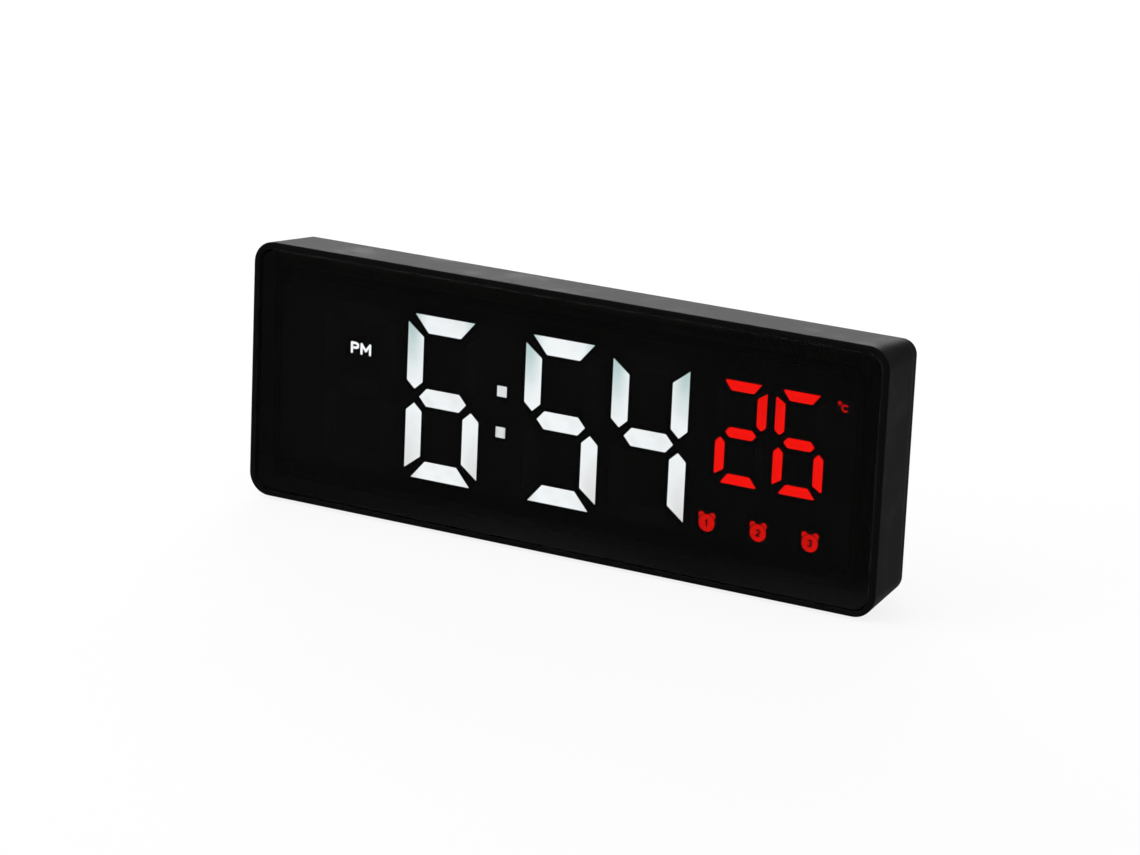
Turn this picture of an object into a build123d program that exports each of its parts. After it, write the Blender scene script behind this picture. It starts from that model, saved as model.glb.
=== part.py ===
from build123d import *

import os
from math import atan2, cos, degrees, hypot, radians, sin, tan

# A digital LED desk clock: a drafted shell with a smoked front panel, seven-segment digits behind it,
# a rear cover with keys, a battery door, a power inlet and keyholes, and rubber pads that level it.
# Frame: X to the right seen from the front, Y to the back, Z up, in millimetres. The origin is on the
# table, under the middle of the clock. A depth is counted from the front plane towards the back.

os.makedirs("parts", exist_ok=True)

# Big digits
digit_height = 47.5
digit_width = 23.65
digit_stroke = 5.05
digit_slit = 1.6
digit_spacing = 3.85
colon_room = 14.5
colon_dot = 3.0
colon_spread = 11.8

# Small digits
small_height = 28.95
small_width = 14.9
small_stroke = 2.78
small_slit = 1.35
small_spacing = 2.65
small_room = 8.7
small_drop = 2.7
small_tip_radius = 0.3

# Marks beside the digits
mark_relief = 0.3
mark_border = 0.5
degree_room = 3.3
degree_ring_radius = 0.6
degree_ring_stroke = 0.32
degree_letter_radius = 1.1
degree_letter_stroke = 0.5
degree_letter_drop = 1.2
degree_letter_shift = 1.65
degree_drop = 0.35
word_height = 3.45
word_width = 6.8
word_stroke = 0.72
alarm_disc_radius = 2.45
alarm_bell_radius = 0.95
alarm_bell_reach = 2.7
alarm_bell_gap = 0.2
alarm_pitch = 15.65
alarm_shift = 1.9
alarm_rise = 3.75
alarm_numeral_height = 2.1
alarm_numeral_stroke = 0.45
alarm_count = 3

# Margins from the digits to the sides of the front
left_margin = 23.6
right_margin = 11.8
digit_margin = 13.75

# Front panel
rim_width = 1.75
lens_recess = 0.05
lens_thickness = 1.75
lens_fit = 0.1
lens_bevel = 0.25
tape_thickness = 0.2
tape_width = 4.0
tape_inset = 0.5

# Shell
wall = 2.0
corner_radius = 6.5
side_draft = 5.7
front_edge_radius = 0.45
back_edge_radius = 3.4
cover_depth = 5.0
lap_depth = 1.5
lap_fit = 0.12
ledge_width = 7.0
ledge_thickness = 1.4
least_radius = 0.5

# Light block and boards
face_gap = 0.3
block_depth = 4.5
block_fit = 0.3
insert_thickness = 1.0
window_fit = 0.08
board_thickness = 1.2
board_fit = 0.45
chip_length = 3.5
chip_width = 2.8
chip_height = 0.8
small_chip_length = 1.6
small_chip_width = 0.8
small_chip_height = 0.6

# Cells and their bay
cell_diameter = 10.5
cell_length = 44.5
cell_nub_radius = 1.9
cell_nub_height = 0.9
cell_rim = 0.6
cell_count = 3
cell_fit = 0.2
cell_pitch_gap = 0.4
bay_floor = 1.2
bay_wall = 1.4
bay_rib_width = 1.0
bay_rib_height = 1.6
back_room = 3.4
contact_thickness = 0.4
contact_gap = 0.1
contact_side = 7.4
tail_width = 2.4
tail_reach = 1.2
tail_fit = 0.15
spring_height = 4.2
spring_wire_radius = 0.25
spring_base_radius = 3.0
spring_tip_radius = 1.9
spring_turns = 3
spring_sample_count = 24

# Battery door
door_thickness = 1.2
door_fit = 0.25
seat_gap = 0.1
barrel_radius = 1.0
pivot_radius = 0.5
pivot_fit = 0.05
pivot_length = 1.2
tongue_width = 12.0
tongue_length = 7.0
tongue_slit = 0.8
catch_depth = 1.5
catch_thickness = 1.2
catch_width = 8.0
catch_fit = 0.2
grip_count = 3
grip_height = 0.35
grip_width = 0.6
grip_pitch = 1.4
notch_length = 3.5
notch_width = 14.0
notch_depth = 1.1
notch_radius = 1.2
arrow_length = 3.4
arrow_width = 5.0
arrow_depth = 0.35
arrow_gap = 3.0

# Shallow recess for a label on the back
label_width = 36.0
label_height = 22.0
label_corner = 1.0
label_recess = 0.25
label_side = 38.0
label_drop = 7.5

# Screws
screw_radius = 1.0
screw_fit = 0.02
screw_clearance = 0.25
screw_head_radius = 1.9
screw_head_height = 1.3
screw_head_fit = 0.4
screw_drive_radius = 0.7
screw_drive_depth = 0.6
cover_post_radius = 3.0
cover_screw_side = 12.0
cover_screw_end = 8.5
cover_head_cover = 0.5
cover_screw_grip = 7.0
post_relief = 0.4
board_post_radius = 2.1
board_post_end = 6.3
board_post_side = 22.0
board_screw_grip = 3.6
control_screw_grip = 4.0

# Control board, beside the bay
control_width = 52.0
control_height = 36.0
control_gap = 3.0
control_drop = 6.0
control_post_inset = 3.0
control_post_radius = 2.2

# Keys
key_names = ["mode", "alarm", "up", "down", "snooze"]
key_pitch = 9.0
key_lift = 3.0
key_radius = 2.9
key_fit = 0.2
key_edge = 0.35
key_flange_radius = 3.9
key_flange_height = 1.0
key_flange_gap = 0.25
key_flush_gap = 0.2
key_dish_radius = 1.9
key_dish_depth = 0.25
key_travel = 0.5
key_panel_recess = 1.0
key_panel_border = 1.6
switch_side = 6.0
switch_height = 3.1
switch_leg = 0.7
plunger_radius = 1.7
plunger_fit = 0.08
plunger_reach = 0.9
plunger_sink = 1.6
plunger_gap = 0.05
plunger_room = 0.2

# Power inlet
inlet_width = 7.6
inlet_height = 2.7
inlet_wall = 0.35
inlet_depth = 5.0
inlet_tongue_height = 0.6
inlet_tongue_width = 4.6
inlet_drop = 17.0
inlet_opening_fit = 0.4
inlet_mouth_gap = 1.8
inlet_flare = 0.9
inlet_corner = 0.9

# Small parts on the boards
buzzer_radius = 4.5
buzzer_height = 4.3
buzzer_hole_radius = 1.0
buzzer_side = 9.0
buzzer_drop = 13.0
sound_hole_radius = 0.7
sound_ring_radius = 2.8
sound_ring_count = 6
vent_width = 1.1
vent_length = 9.0
vent_pitch = 2.8
vent_count = 3
sensor_side = 8.5
sensor_drop = 12.0
sensor_radius = 1.1
sensor_wire_radius = 0.3
sensor_height = 4.0
capacitor_radius = 2.5
capacitor_height = 4.6
capacitor_bevel = 0.3
crystal_length = 8.0
crystal_radius = 1.5
crystal_pin_length = 2.6
crystal_pin_radius = 0.25
chip_body_length = 9.9
chip_body_width = 3.9
chip_body_height = 1.4
chip_lift = 0.15
chip_leg_width = 0.42
chip_leg_pitch = 1.27
chip_leg_reach = 1.05
chip_leg_thickness = 0.2
chip_legs_a_side = 7
resistor_length = 2.0
resistor_width = 1.25
resistor_height = 0.5
resistor_pitch = 3.0
resistor_count = 8
link_pins = 8
link_pitch = 2.54
link_pin_side = 0.64
link_pin_fit = 0.1
link_base_height = 2.54
link_body_width = 2.5

# Wires from the cells to the control board
wire_radius = 0.5
wire_bend = 1.6
wire_rise_gap = 0.3
lead_landing = 7.0

# Keyholes for hanging on a wall
keyhole_side = 24.0
keyhole_lift = 18.8
keyhole_entry_radius = 4.0
keyhole_slot_radius = 2.2
keyhole_slot_rise = 6.5
keyhole_pocket_depth = 3.5
keyhole_pocket_wall = 1.0
keyhole_head_room = 1.2

# Foot pads
stand_height = 0.8
pad_width = 18.0
pad_side = 20.0
pad_setback = 4.0
pad_corner = 2.0
pad_gap = 0.7

# One overrun for every cut
cut = 1.0

# Shares of a slit and of a stroke that shape the seven segments
bar_outer_share = 1.42
bar_inner_share = 1.0
post_outer_share = 1.6
post_inner_share = 0.85
post_tip_share = 1.3
bar_tip_share = 1.06
point_share = 0.45
round_share = 0.85
link_reach_share = 0.75

# Corner points of the letters and numerals, as shares of the height of each
letter_shares = {
    "P": [(-0.4, -0.5), (-0.4, 0.5), (0.1, 0.5), (0.34, 0.38), (0.34, 0.1), (0.1, 0.0), (-0.4, 0.0)],
    "M": [(-0.52, -0.5), (-0.52, 0.5), (0.0, -0.18), (0.52, 0.5), (0.52, -0.5)],
    "1": [(-0.2, 0.28), (0.0, 0.5), (0.0, -0.5)],
    "2": [(-0.28, 0.34), (-0.12, 0.5), (0.12, 0.5), (0.28, 0.34), (0.28, 0.1), (-0.3, -0.5), (0.32, -0.5)],
    "3": [
        (-0.28, 0.38), (-0.1, 0.5), (0.12, 0.5), (0.28, 0.36), (0.28, 0.16), (0.0, 0.02),
        (0.28, -0.14), (0.28, -0.36), (0.12, -0.5), (-0.1, -0.5), (-0.28, -0.38),
    ],
}
word_letter_share = 0.26
word_drop_share = 0.275
bell_angle_degrees = 128
degree_mouth_degrees = 38

# Sizes across the front, added up from left to right
pair_width = 2 * digit_width + digit_spacing
small_pair_width = 2 * small_width + small_spacing
degree_width = degree_ring_radius + degree_letter_shift + degree_letter_radius
digits_width = 2 * pair_width + colon_room + small_room + small_pair_width + degree_room + degree_width
front_width = left_margin + digits_width + right_margin
front_height = digit_height + 2 * digit_margin
front_middle = stand_height + front_height / 2

# Depths, added up from front to back
lens_back = lens_recess + lens_thickness
ledge_front = lens_back + tape_thickness
ledge_back = ledge_front + ledge_thickness
block_front = lens_back + face_gap
block_back = block_front + block_depth
display_back = block_back + board_thickness
bay_front = display_back + back_room
bay_bottom = bay_front + bay_floor
cell_axis_depth = bay_bottom + cell_fit + cell_diameter / 2
door_inner = cell_axis_depth + cell_diameter / 2 + cell_fit
body_depth = door_inner + door_thickness
cover_inner = body_depth - wall
parting = body_depth - cover_depth
draft_share = tan(radians(side_draft))

# Places across the front, from its middle
hour_ten_x = left_margin + digit_width / 2 - front_width / 2
hour_unit_x = hour_ten_x + digit_width + digit_spacing
minute_ten_x = hour_unit_x + digit_width + colon_room
minute_unit_x = minute_ten_x + digit_width + digit_spacing
colon_x = (hour_unit_x + minute_ten_x) / 2
small_ten_x = minute_unit_x + digit_width / 2 + small_room + small_width / 2
small_unit_x = small_ten_x + small_width + small_spacing
small_z = digit_height / 2 - small_drop - small_height / 2
small_right = small_unit_x + small_width / 2
degree_x = small_right + degree_room + degree_ring_radius
degree_z = digit_height / 2 - small_drop - degree_drop - degree_ring_radius
word_z = digit_height / 2 - digit_height * word_drop_share
alarm_z = alarm_rise - digit_height / 2
alarm_x = (small_ten_x + small_unit_x) / 2 - alarm_shift

# Bay and board places
cell_pitch = cell_diameter + cell_pitch_gap
bay_height = cell_count * cell_pitch + cell_pitch_gap
spring_room = contact_thickness + spring_height + contact_gap
plate_room = contact_thickness + contact_gap
bay_length = cell_length + spring_room + plate_room
recess_length = bay_length + 2 * bay_wall
recess_height = bay_height + 2 * bay_wall
control_left = recess_length / 2 + control_gap
control_x = control_left + control_width / 2
control_back = cover_inner - key_panel_recess - key_flange_gap - key_flange_height
control_back = control_back - plunger_gap - plunger_reach - switch_height
control_front = control_back - board_thickness
key_row_z = key_lift
control_z = -control_drop
hinge_x = door_fit + barrel_radius - recess_length / 2
hinge_depth = body_depth - barrel_radius
keyhole_x = front_width / 2 - keyhole_side
cover_screw_x = front_width / 2 - cover_screw_side
cover_screw_z = front_height / 2 - cover_screw_end
board_post_x = front_width / 2 - board_post_side
board_post_z = front_height / 2 - board_post_end


def facing_front(depth):
    """The plane at a depth, centred on the front: local x to the right, local y up, out to the front."""
    origin = (0, depth - body_depth / 2, front_middle)
    return Plane(origin=origin, x_dir=(1, 0, 0), z_dir=(0, -1, 0))


def facing_side(x):
    """The plane at a place across the front, its normal along +X: local x to the back, local y up."""
    return Plane(origin=(x, -body_depth / 2, front_middle), x_dir=(0, 1, 0), z_dir=(1, 0, 0))


def outline(depth, inset):
    """The drafted outline of the shell at a depth, drawn in by an inset."""
    shrink = inset + depth * draft_share
    radius = max(corner_radius - shrink, least_radius)
    with BuildSketch(facing_front(depth)) as shape:
        RectangleRounded(front_width - 2 * shrink, front_height - 2 * shrink, radius)
    return shape.sketch


def drafted_block(front, back, inset):
    """A solid between two depths that follows the drafted sides of the shell."""
    with BuildPart() as block:
        loft(sections=[outline(front, inset), outline(back, inset)], ruled=True)
    return block.part


def segment_outlines(width, height, stroke, slit):
    """The corner points of the seven segments of one digit, named a to g as usual."""
    half_width = width / 2
    half_height = height / 2
    inner_x = half_width - stroke
    inner_z = half_height - stroke
    point = stroke * point_share
    tip_z = slit * post_tip_share
    tip_x = half_width - stroke / 2 - slit * bar_tip_share
    bar = [
        (-half_width + slit * bar_outer_share, half_height),
        (half_width - slit * bar_outer_share, half_height),
        (inner_x - slit * bar_inner_share, inner_z),
        (-inner_x + slit * bar_inner_share, inner_z),
    ]
    post = [
        (half_width, half_height - slit * post_outer_share),
        (half_width, tip_z + point),
        (half_width - stroke / 2, tip_z),
        (inner_x, tip_z + point),
        (inner_x, inner_z - slit * post_inner_share),
    ]
    middle = [
        (-tip_x, 0),
        (point - tip_x, stroke / 2),
        (tip_x - point, stroke / 2),
        (tip_x, 0),
        (tip_x - point, -stroke / 2),
        (point - tip_x, -stroke / 2),
    ]
    return {
        "a": bar,
        "b": post,
        "c": [(x, -z) for x, z in post],
        "d": [(x, -z) for x, z in bar],
        "e": [(-x, -z) for x, z in post],
        "f": [(-x, z) for x, z in post],
        "g": middle,
    }


def segment_middles(width, height, stroke):
    """The middle of each segment, a to g, and whether it stands upright."""
    side = width / 2 - stroke / 2
    top = height / 2 - stroke / 2
    uprights = [(x, z, True) for x in (-side, side) for z in (-height / 4, height / 4)]
    return [(0, top, False), (0, 0, False), (0, -top, False)] + uprights


big_sizes = (digit_width, digit_height, digit_stroke, digit_slit)
small_sizes = (small_width, small_height, small_stroke, small_slit)
all_segments = "abcdefg"


def digit_polygons(middle, sizes, letters):
    """The named segments of one digit, added to the sketch that is open."""
    shapes = segment_outlines(*sizes)
    with Locations(middle):
        for letter in letters:
            Polygon(*shapes[letter])


def stroke_line(middle, points, scale, width):
    """Rounded strokes along corner points, added to the sketch that is open."""
    with Locations(middle):
        for (x0, z0), (x1, z1) in zip(points, points[1:]):
            run = hypot(x1 - x0, z1 - z0) * scale
            turn = degrees(atan2(z1 - z0, x1 - x0))
            with Locations(((x0 + x1) / 2 * scale, (z0 + z1) / 2 * scale)):
                SlotCenterToCenter(run, width, rotation=turn)


# Front housing: rim, drafted sides, the ledge that carries the panel, and the posts
housing_body = drafted_block(0, parting, 0)
housing_room = drafted_block(ledge_back, parting + cut, wall)
housing_lap = drafted_block(parting - lap_depth, parting + cut, wall / 2)
post_envelope = drafted_block(ledge_front, parting, wall / 2)
window_width = front_width - 2 * (rim_width + ledge_width)
window_height = front_height - 2 * (rim_width + ledge_width)
window_radius = max(corner_radius - rim_width, least_radius)

with BuildPart() as posts:
    with BuildSketch(facing_front(parting)):
        with GridLocations(2 * cover_screw_x, 2 * cover_screw_z, 2, 2):
            Circle(cover_post_radius)
    extrude(amount=parting - ledge_front)
    with BuildSketch(facing_front(block_back)):
        with GridLocations(board_post_x, 2 * board_post_z, 3, 2):
            Circle(board_post_radius)
    extrude(amount=block_back - ledge_front)
    add(post_envelope, mode=Mode.INTERSECT)

with BuildPart() as front_housing:
    add(housing_body)
    fillet(front_housing.faces().sort_by(Axis.Y)[0].edges(), front_edge_radius)
    add(housing_room, mode=Mode.SUBTRACT)
    add(housing_lap, mode=Mode.SUBTRACT)
    with BuildSketch(facing_front(ledge_front)):
        RectangleRounded(front_width - 2 * rim_width, front_height - 2 * rim_width, window_radius)
    extrude(amount=ledge_front + cut, mode=Mode.SUBTRACT)
    with BuildSketch(facing_front(ledge_back + cut)):
        RectangleRounded(window_width, window_height, window_radius)
    extrude(amount=ledge_thickness + 2 * cut, mode=Mode.SUBTRACT)
    add(posts.part)
    with BuildSketch(facing_front(parting + cut)):
        with GridLocations(2 * cover_screw_x, 2 * cover_screw_z, 2, 2):
            Circle(screw_radius + screw_fit)
    extrude(amount=cover_screw_grip + 2 * cut, mode=Mode.SUBTRACT)
    with BuildSketch(facing_front(block_back + cut)):
        with GridLocations(board_post_x, 2 * board_post_z, 3, 2):
            Circle(screw_radius + screw_fit)
    extrude(amount=board_screw_grip + cut, mode=Mode.SUBTRACT)

front_housing.part.label = "front_housing"
export_step(front_housing.part, "parts/front_housing.step")

# Front panel and the tape behind it
lens_width = front_width - 2 * (rim_width + lens_fit)
lens_height = front_height - 2 * (rim_width + lens_fit)
lens_radius = max(window_radius - lens_fit, least_radius)

with BuildPart() as front_panel:
    with BuildSketch(facing_front(lens_back)):
        RectangleRounded(lens_width, lens_height, lens_radius)
    extrude(amount=lens_thickness)
    chamfer(front_panel.faces().sort_by(Axis.Y)[0].edges(), lens_bevel)

front_panel.part.label = "front_panel"
export_step(front_panel.part, "parts/front_panel.step")

with BuildPart() as panel_tape:
    with BuildSketch(facing_front(ledge_front)):
        RectangleRounded(lens_width - 2 * tape_inset, lens_height - 2 * tape_inset, lens_radius)
        hole_width = lens_width - 2 * (tape_inset + tape_width)
        hole_height = lens_height - 2 * (tape_inset + tape_width)
        RectangleRounded(hole_width, hole_height, lens_radius, mode=Mode.SUBTRACT)
    extrude(amount=tape_thickness)

panel_tape.part.label = "panel_tape"
export_step(panel_tape.part, "parts/panel_tape.step")

# Marks: each is an insert whose lit form stands proud of its painted ground
ground_depth = block_front + mark_relief
insert_back = block_front + insert_thickness
letter_height = word_height - word_stroke
numeral_height = alarm_numeral_height - alarm_numeral_stroke
word_letter_x = word_width * word_letter_share
word_plate = (word_width + 2 * mark_border, word_height + 2 * mark_border)
degree_plate_width = degree_width + 2 * mark_border + degree_ring_radius
degree_bottom = degree_letter_drop + degree_letter_radius
degree_plate = (degree_plate_width, degree_ring_radius + degree_bottom + 2 * mark_border)
degree_plate_x = degree_x - degree_ring_radius - mark_border + degree_plate_width / 2
degree_plate_z = degree_z + (degree_ring_radius - degree_bottom) / 2
bell_side = alarm_bell_reach * sin(radians(bell_angle_degrees - 90)) + alarm_bell_radius
bell_height = alarm_bell_reach * cos(radians(bell_angle_degrees - 90)) + alarm_bell_radius
alarm_plate_half = max(alarm_disc_radius, bell_side) + mark_border
alarm_plate_low = alarm_disc_radius + mark_border
alarm_plate_high = max(alarm_disc_radius, bell_height) + mark_border
alarm_plate = (2 * alarm_plate_half, alarm_plate_low + alarm_plate_high)
alarm_plate_z = alarm_z + (alarm_plate_high - alarm_plate_low) / 2
alarm_places = [alarm_x + alarm_pitch * (n - (alarm_count - 1) / 2) for n in range(alarm_count)]

# Light block: a black body behind the ledge, its raised face in the window, and a shaft for each light
room_width = front_width - 2 * (wall + parting * draft_share)
room_height = front_height - 2 * (wall + parting * draft_share)
board_width = room_width - 2 * board_fit
board_height = room_height - 2 * board_fit
face_width = window_width - 2 * block_fit
face_height = window_height - 2 * block_fit
face_radius = max(window_radius - block_fit, least_radius)
post_slot = cover_post_radius + post_relief
board_post_slot = board_post_radius + post_relief
colon_places = [(colon_x, -colon_spread / 2), (colon_x, colon_spread / 2)]


def post_notches(radius, across, up, depth):
    """A sketch of notches that clear posts at four corners, open to the long edges."""
    with BuildSketch(facing_front(depth)) as notches:
        with GridLocations(2 * across, 2 * up, 2, 2):
            Circle(radius)
        reach = front_height / 2 - up
        with GridLocations(2 * across, 2 * (up + reach / 2), 2, 2):
            Rectangle(2 * radius, reach)
    return notches.sketch


with BuildPart() as light_block:
    with BuildSketch(facing_front(block_back)):
        RectangleRounded(board_width, board_height, least_radius)
    extrude(amount=block_back - ledge_back)
    with BuildSketch(facing_front(ledge_back)):
        RectangleRounded(face_width, face_height, face_radius)
    extrude(amount=ledge_back - block_front)
    with BuildSketch(facing_front(block_back)):
        for x in (hour_ten_x, hour_unit_x, minute_ten_x, minute_unit_x):
            digit_polygons((x, 0), big_sizes, all_segments)
        for x in (small_ten_x, small_unit_x):
            digit_polygons((x, small_z), small_sizes, all_segments)
        with Locations(*colon_places):
            Rectangle(colon_dot, colon_dot)
        with Locations((hour_ten_x, word_z)):
            Rectangle(*word_plate)
        with Locations((degree_plate_x, degree_plate_z)):
            Rectangle(*degree_plate)
        with Locations(*[(x, alarm_plate_z) for x in alarm_places]):
            Rectangle(*alarm_plate)
        offset(amount=window_fit, kind=Kind.INTERSECTION)
    extrude(amount=block_depth + cut, mode=Mode.SUBTRACT)
    extrude(post_notches(post_slot, cover_screw_x, cover_screw_z, block_back + cut),
            amount=block_depth + 2 * cut, mode=Mode.SUBTRACT)
    with BuildSketch(facing_front(block_back + cut)):
        with GridLocations(board_post_x, 2 * board_post_z, 3, 2):
            Circle(board_post_slot)
    extrude(amount=block_depth + 2 * cut, mode=Mode.SUBTRACT)
    with BuildSketch(facing_front(block_back + cut)):
        with GridLocations(board_post_x, 2 * board_post_z + board_post_slot, 3, 2):
            Rectangle(2 * board_post_slot, board_post_slot)
    extrude(amount=block_depth + 2 * cut, mode=Mode.SUBTRACT)

light_block.part.label = "light_block"
export_step(light_block.part, "parts/light_block.step")

# Segment inserts: the lit and the dark segments of each digit
digit_groups = {
    "hour_ten_dark_segments": (hour_ten_x, 0, big_sizes, "abcdefg", 0),
    "hour_unit_lit_segments": (hour_unit_x, 0, big_sizes, "acdefg", 0),
    "hour_unit_dark_segment": (hour_unit_x, 0, big_sizes, "b", 0),
    "minute_ten_lit_segments": (minute_ten_x, 0, big_sizes, "acdfg", 0),
    "minute_ten_dark_segments": (minute_ten_x, 0, big_sizes, "be", 0),
    "minute_unit_lit_segments": (minute_unit_x, 0, big_sizes, "bcfg", 0),
    "minute_unit_dark_segments": (minute_unit_x, 0, big_sizes, "ade", 0),
    "degree_ten_lit_segments": (small_ten_x, small_z, small_sizes, "abdeg", small_tip_radius),
    "degree_ten_dark_segments": (small_ten_x, small_z, small_sizes, "cf", small_tip_radius),
    "degree_unit_lit_segments": (small_unit_x, small_z, small_sizes, "acdefg", small_tip_radius),
    "degree_unit_dark_segment": (small_unit_x, small_z, small_sizes, "b", small_tip_radius),
}

for name, (x, z, sizes, letters, tip_radius) in digit_groups.items():
    with BuildPart() as segments:
        with BuildSketch(facing_front(insert_back)) as faces:
            digit_polygons((x, z), sizes, letters)
            if tip_radius:
                fillet(faces.vertices(), tip_radius)
        extrude(amount=insert_thickness)
    segments.part.label = name
    export_step(segments.part, f"parts/{name}.step")

with BuildPart() as colon_dots:
    with BuildSketch(facing_front(insert_back)):
        with Locations(*colon_places):
            Rectangle(colon_dot, colon_dot)
    extrude(amount=insert_thickness)

colon_dots.part.label = "colon_dots"
export_step(colon_dots.part, "parts/colon_dots.step")

with BuildPart() as pm_mark:
    with BuildSketch(facing_front(insert_back)):
        with Locations((hour_ten_x, word_z)):
            Rectangle(*word_plate)
    extrude(amount=insert_thickness - mark_relief)
    left_letter = (hour_ten_x - word_letter_x, word_z)
    right_letter = (hour_ten_x + word_letter_x, word_z)
    with BuildSketch(facing_front(ground_depth)):
        stroke_line(left_letter, letter_shares["P"], letter_height, word_stroke)
        stroke_line(right_letter, letter_shares["M"], letter_height, word_stroke)
    extrude(amount=mark_relief)

pm_mark.part.label = "pm_mark"
export_step(pm_mark.part, "parts/pm_mark.step")

with BuildPart() as celsius_mark:
    with BuildSketch(facing_front(insert_back)):
        with Locations((degree_plate_x, degree_plate_z)):
            Rectangle(*degree_plate)
    extrude(amount=insert_thickness - mark_relief)
    with BuildSketch(facing_front(ground_depth)):
        with Locations((degree_x, degree_z)):
            Circle(degree_ring_radius)
            Circle(degree_ring_radius - degree_ring_stroke, mode=Mode.SUBTRACT)
    extrude(amount=mark_relief)
    with BuildSketch(facing_front(ground_depth)):
        with Locations((degree_x + degree_letter_shift, degree_z - degree_letter_drop)):
            Circle(degree_letter_radius)
            Circle(degree_letter_radius - degree_letter_stroke, mode=Mode.SUBTRACT)
            mouth_z = 2 * degree_letter_radius * sin(radians(degree_mouth_degrees))
            mouth_x = 2 * degree_letter_radius * cos(radians(degree_mouth_degrees))
            Polygon((0, 0), (mouth_x, -mouth_z), (mouth_x, mouth_z), mode=Mode.SUBTRACT)
    extrude(amount=mark_relief)

celsius_mark.part.label = "celsius_mark"
export_step(celsius_mark.part, "parts/celsius_mark.step")

for number, x in enumerate(alarm_places, start=1):
    with BuildPart() as alarm_mark:
        with BuildSketch(facing_front(insert_back)):
            with Locations((x, alarm_plate_z)):
                Rectangle(*alarm_plate)
        extrude(amount=insert_thickness - mark_relief)
        with BuildSketch(facing_front(ground_depth)):
            with Locations((x, alarm_z)):
                bell_x = alarm_bell_reach * cos(radians(bell_angle_degrees))
                bell_z = alarm_bell_reach * sin(radians(bell_angle_degrees))
                with Locations((bell_x, bell_z), (-bell_x, bell_z)):
                    Circle(alarm_bell_radius)
                Circle(alarm_disc_radius + alarm_bell_gap, mode=Mode.SUBTRACT)
                Circle(alarm_disc_radius)
        extrude(amount=mark_relief)
        with BuildSketch(facing_front(ground_depth)):
            stroke_line((x, alarm_z), letter_shares[str(number)], numeral_height, alarm_numeral_stroke)
        extrude(amount=mark_relief, mode=Mode.SUBTRACT)
    alarm_mark.part.label = f"alarm_mark_{number}"
    export_step(alarm_mark.part, f"parts/alarm_mark_{number}.step")

# Display board with a light chip behind each segment and mark
with BuildPart() as display_board:
    with BuildSketch(facing_front(display_back)):
        RectangleRounded(board_width, board_height, least_radius)
        with GridLocations(board_post_x, 2 * board_post_z, 3, 2):
            Circle(screw_radius + screw_clearance, mode=Mode.SUBTRACT)
    extrude(amount=board_thickness)
    extrude(post_notches(post_slot, cover_screw_x, cover_screw_z, display_back + cut),
            amount=board_thickness + 2 * cut, mode=Mode.SUBTRACT)

display_board.part.label = "display_board"
export_step(display_board.part, "parts/display_board.step")

with BuildPart() as white_chips:
    with BuildSketch(facing_front(block_back)):
        for digit_x in (hour_ten_x, hour_unit_x, minute_ten_x, minute_unit_x):
            for x, z, upright in segment_middles(digit_width, digit_height, digit_stroke):
                with Locations((digit_x + x, z)):
                    Rectangle(chip_length, chip_width, rotation=90 if upright else 0)
    extrude(amount=chip_height)
    with BuildSketch(facing_front(block_back)):
        with Locations(*colon_places, (hour_ten_x, word_z)):
            Rectangle(small_chip_length, small_chip_width)
    extrude(amount=small_chip_height)

white_chips.part.label = "white_chips"
export_step(white_chips.part, "parts/white_chips.step")

with BuildPart() as red_chips:
    with BuildSketch(facing_front(block_back)):
        for digit_x in (small_ten_x, small_unit_x):
            for x, z, upright in segment_middles(small_width, small_height, small_stroke):
                with Locations((digit_x + x, small_z + z)):
                    Rectangle(small_chip_length, small_chip_width, rotation=90 if upright else 0)
        with Locations((degree_plate_x, degree_plate_z), *[(x, alarm_z) for x in alarm_places]):
            Rectangle(small_chip_length, small_chip_width)
    extrude(amount=small_chip_height)

red_chips.part.label = "red_chips"
export_step(red_chips.part, "parts/red_chips.step")


def leg_chip(middle, depth, towards_front):
    """A moulded chip with two rows of bent legs, standing on a board face at a depth."""
    way = 1 if towards_front else -1
    waist = depth - way * (chip_lift + chip_body_height / 2)
    leg_span = chip_body_width / 2 + chip_leg_reach
    with BuildPart() as chip:
        with BuildSketch(facing_front(depth - way * chip_lift)):
            with Locations(middle):
                Rectangle(chip_body_length, chip_body_width)
        extrude(amount=way * chip_body_height)
        with BuildSketch(facing_front(waist)):
            with Locations(middle):
                with GridLocations(chip_leg_pitch, leg_span + chip_body_width / 2, chip_legs_a_side, 2):
                    Rectangle(chip_leg_width, leg_span - chip_body_width / 2)
        extrude(amount=way * chip_leg_thickness)
        with BuildSketch(facing_front(depth)):
            with Locations(middle):
                with GridLocations(chip_leg_pitch, 2 * leg_span - chip_leg_reach / 2, chip_legs_a_side, 2):
                    Rectangle(chip_leg_width, chip_leg_reach / 2)
        extrude(amount=way * (abs(waist - depth) + chip_leg_thickness))
    return chip.part


# Driver chip and resistors on the back of the display board
driver_x = -(recess_length / 2 + control_gap + chip_body_length)
with BuildPart() as driver_chip:
    add(leg_chip((driver_x, 0), display_back, False))

driver_chip.part.label = "driver_chip"
export_step(driver_chip.part, "parts/driver_chip.step")

resistor_row_z = chip_body_width / 2 + chip_leg_reach + resistor_pitch
with BuildPart() as resistors:
    with BuildSketch(facing_front(display_back)):
        with Locations((driver_x, resistor_row_z)):
            with GridLocations(resistor_pitch, resistor_pitch, resistor_count // 2, 2):
                Rectangle(resistor_width, resistor_length)
    extrude(amount=-resistor_height)

resistors.part.label = "resistors"
export_step(resistors.part, "parts/resistors.step")

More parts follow.
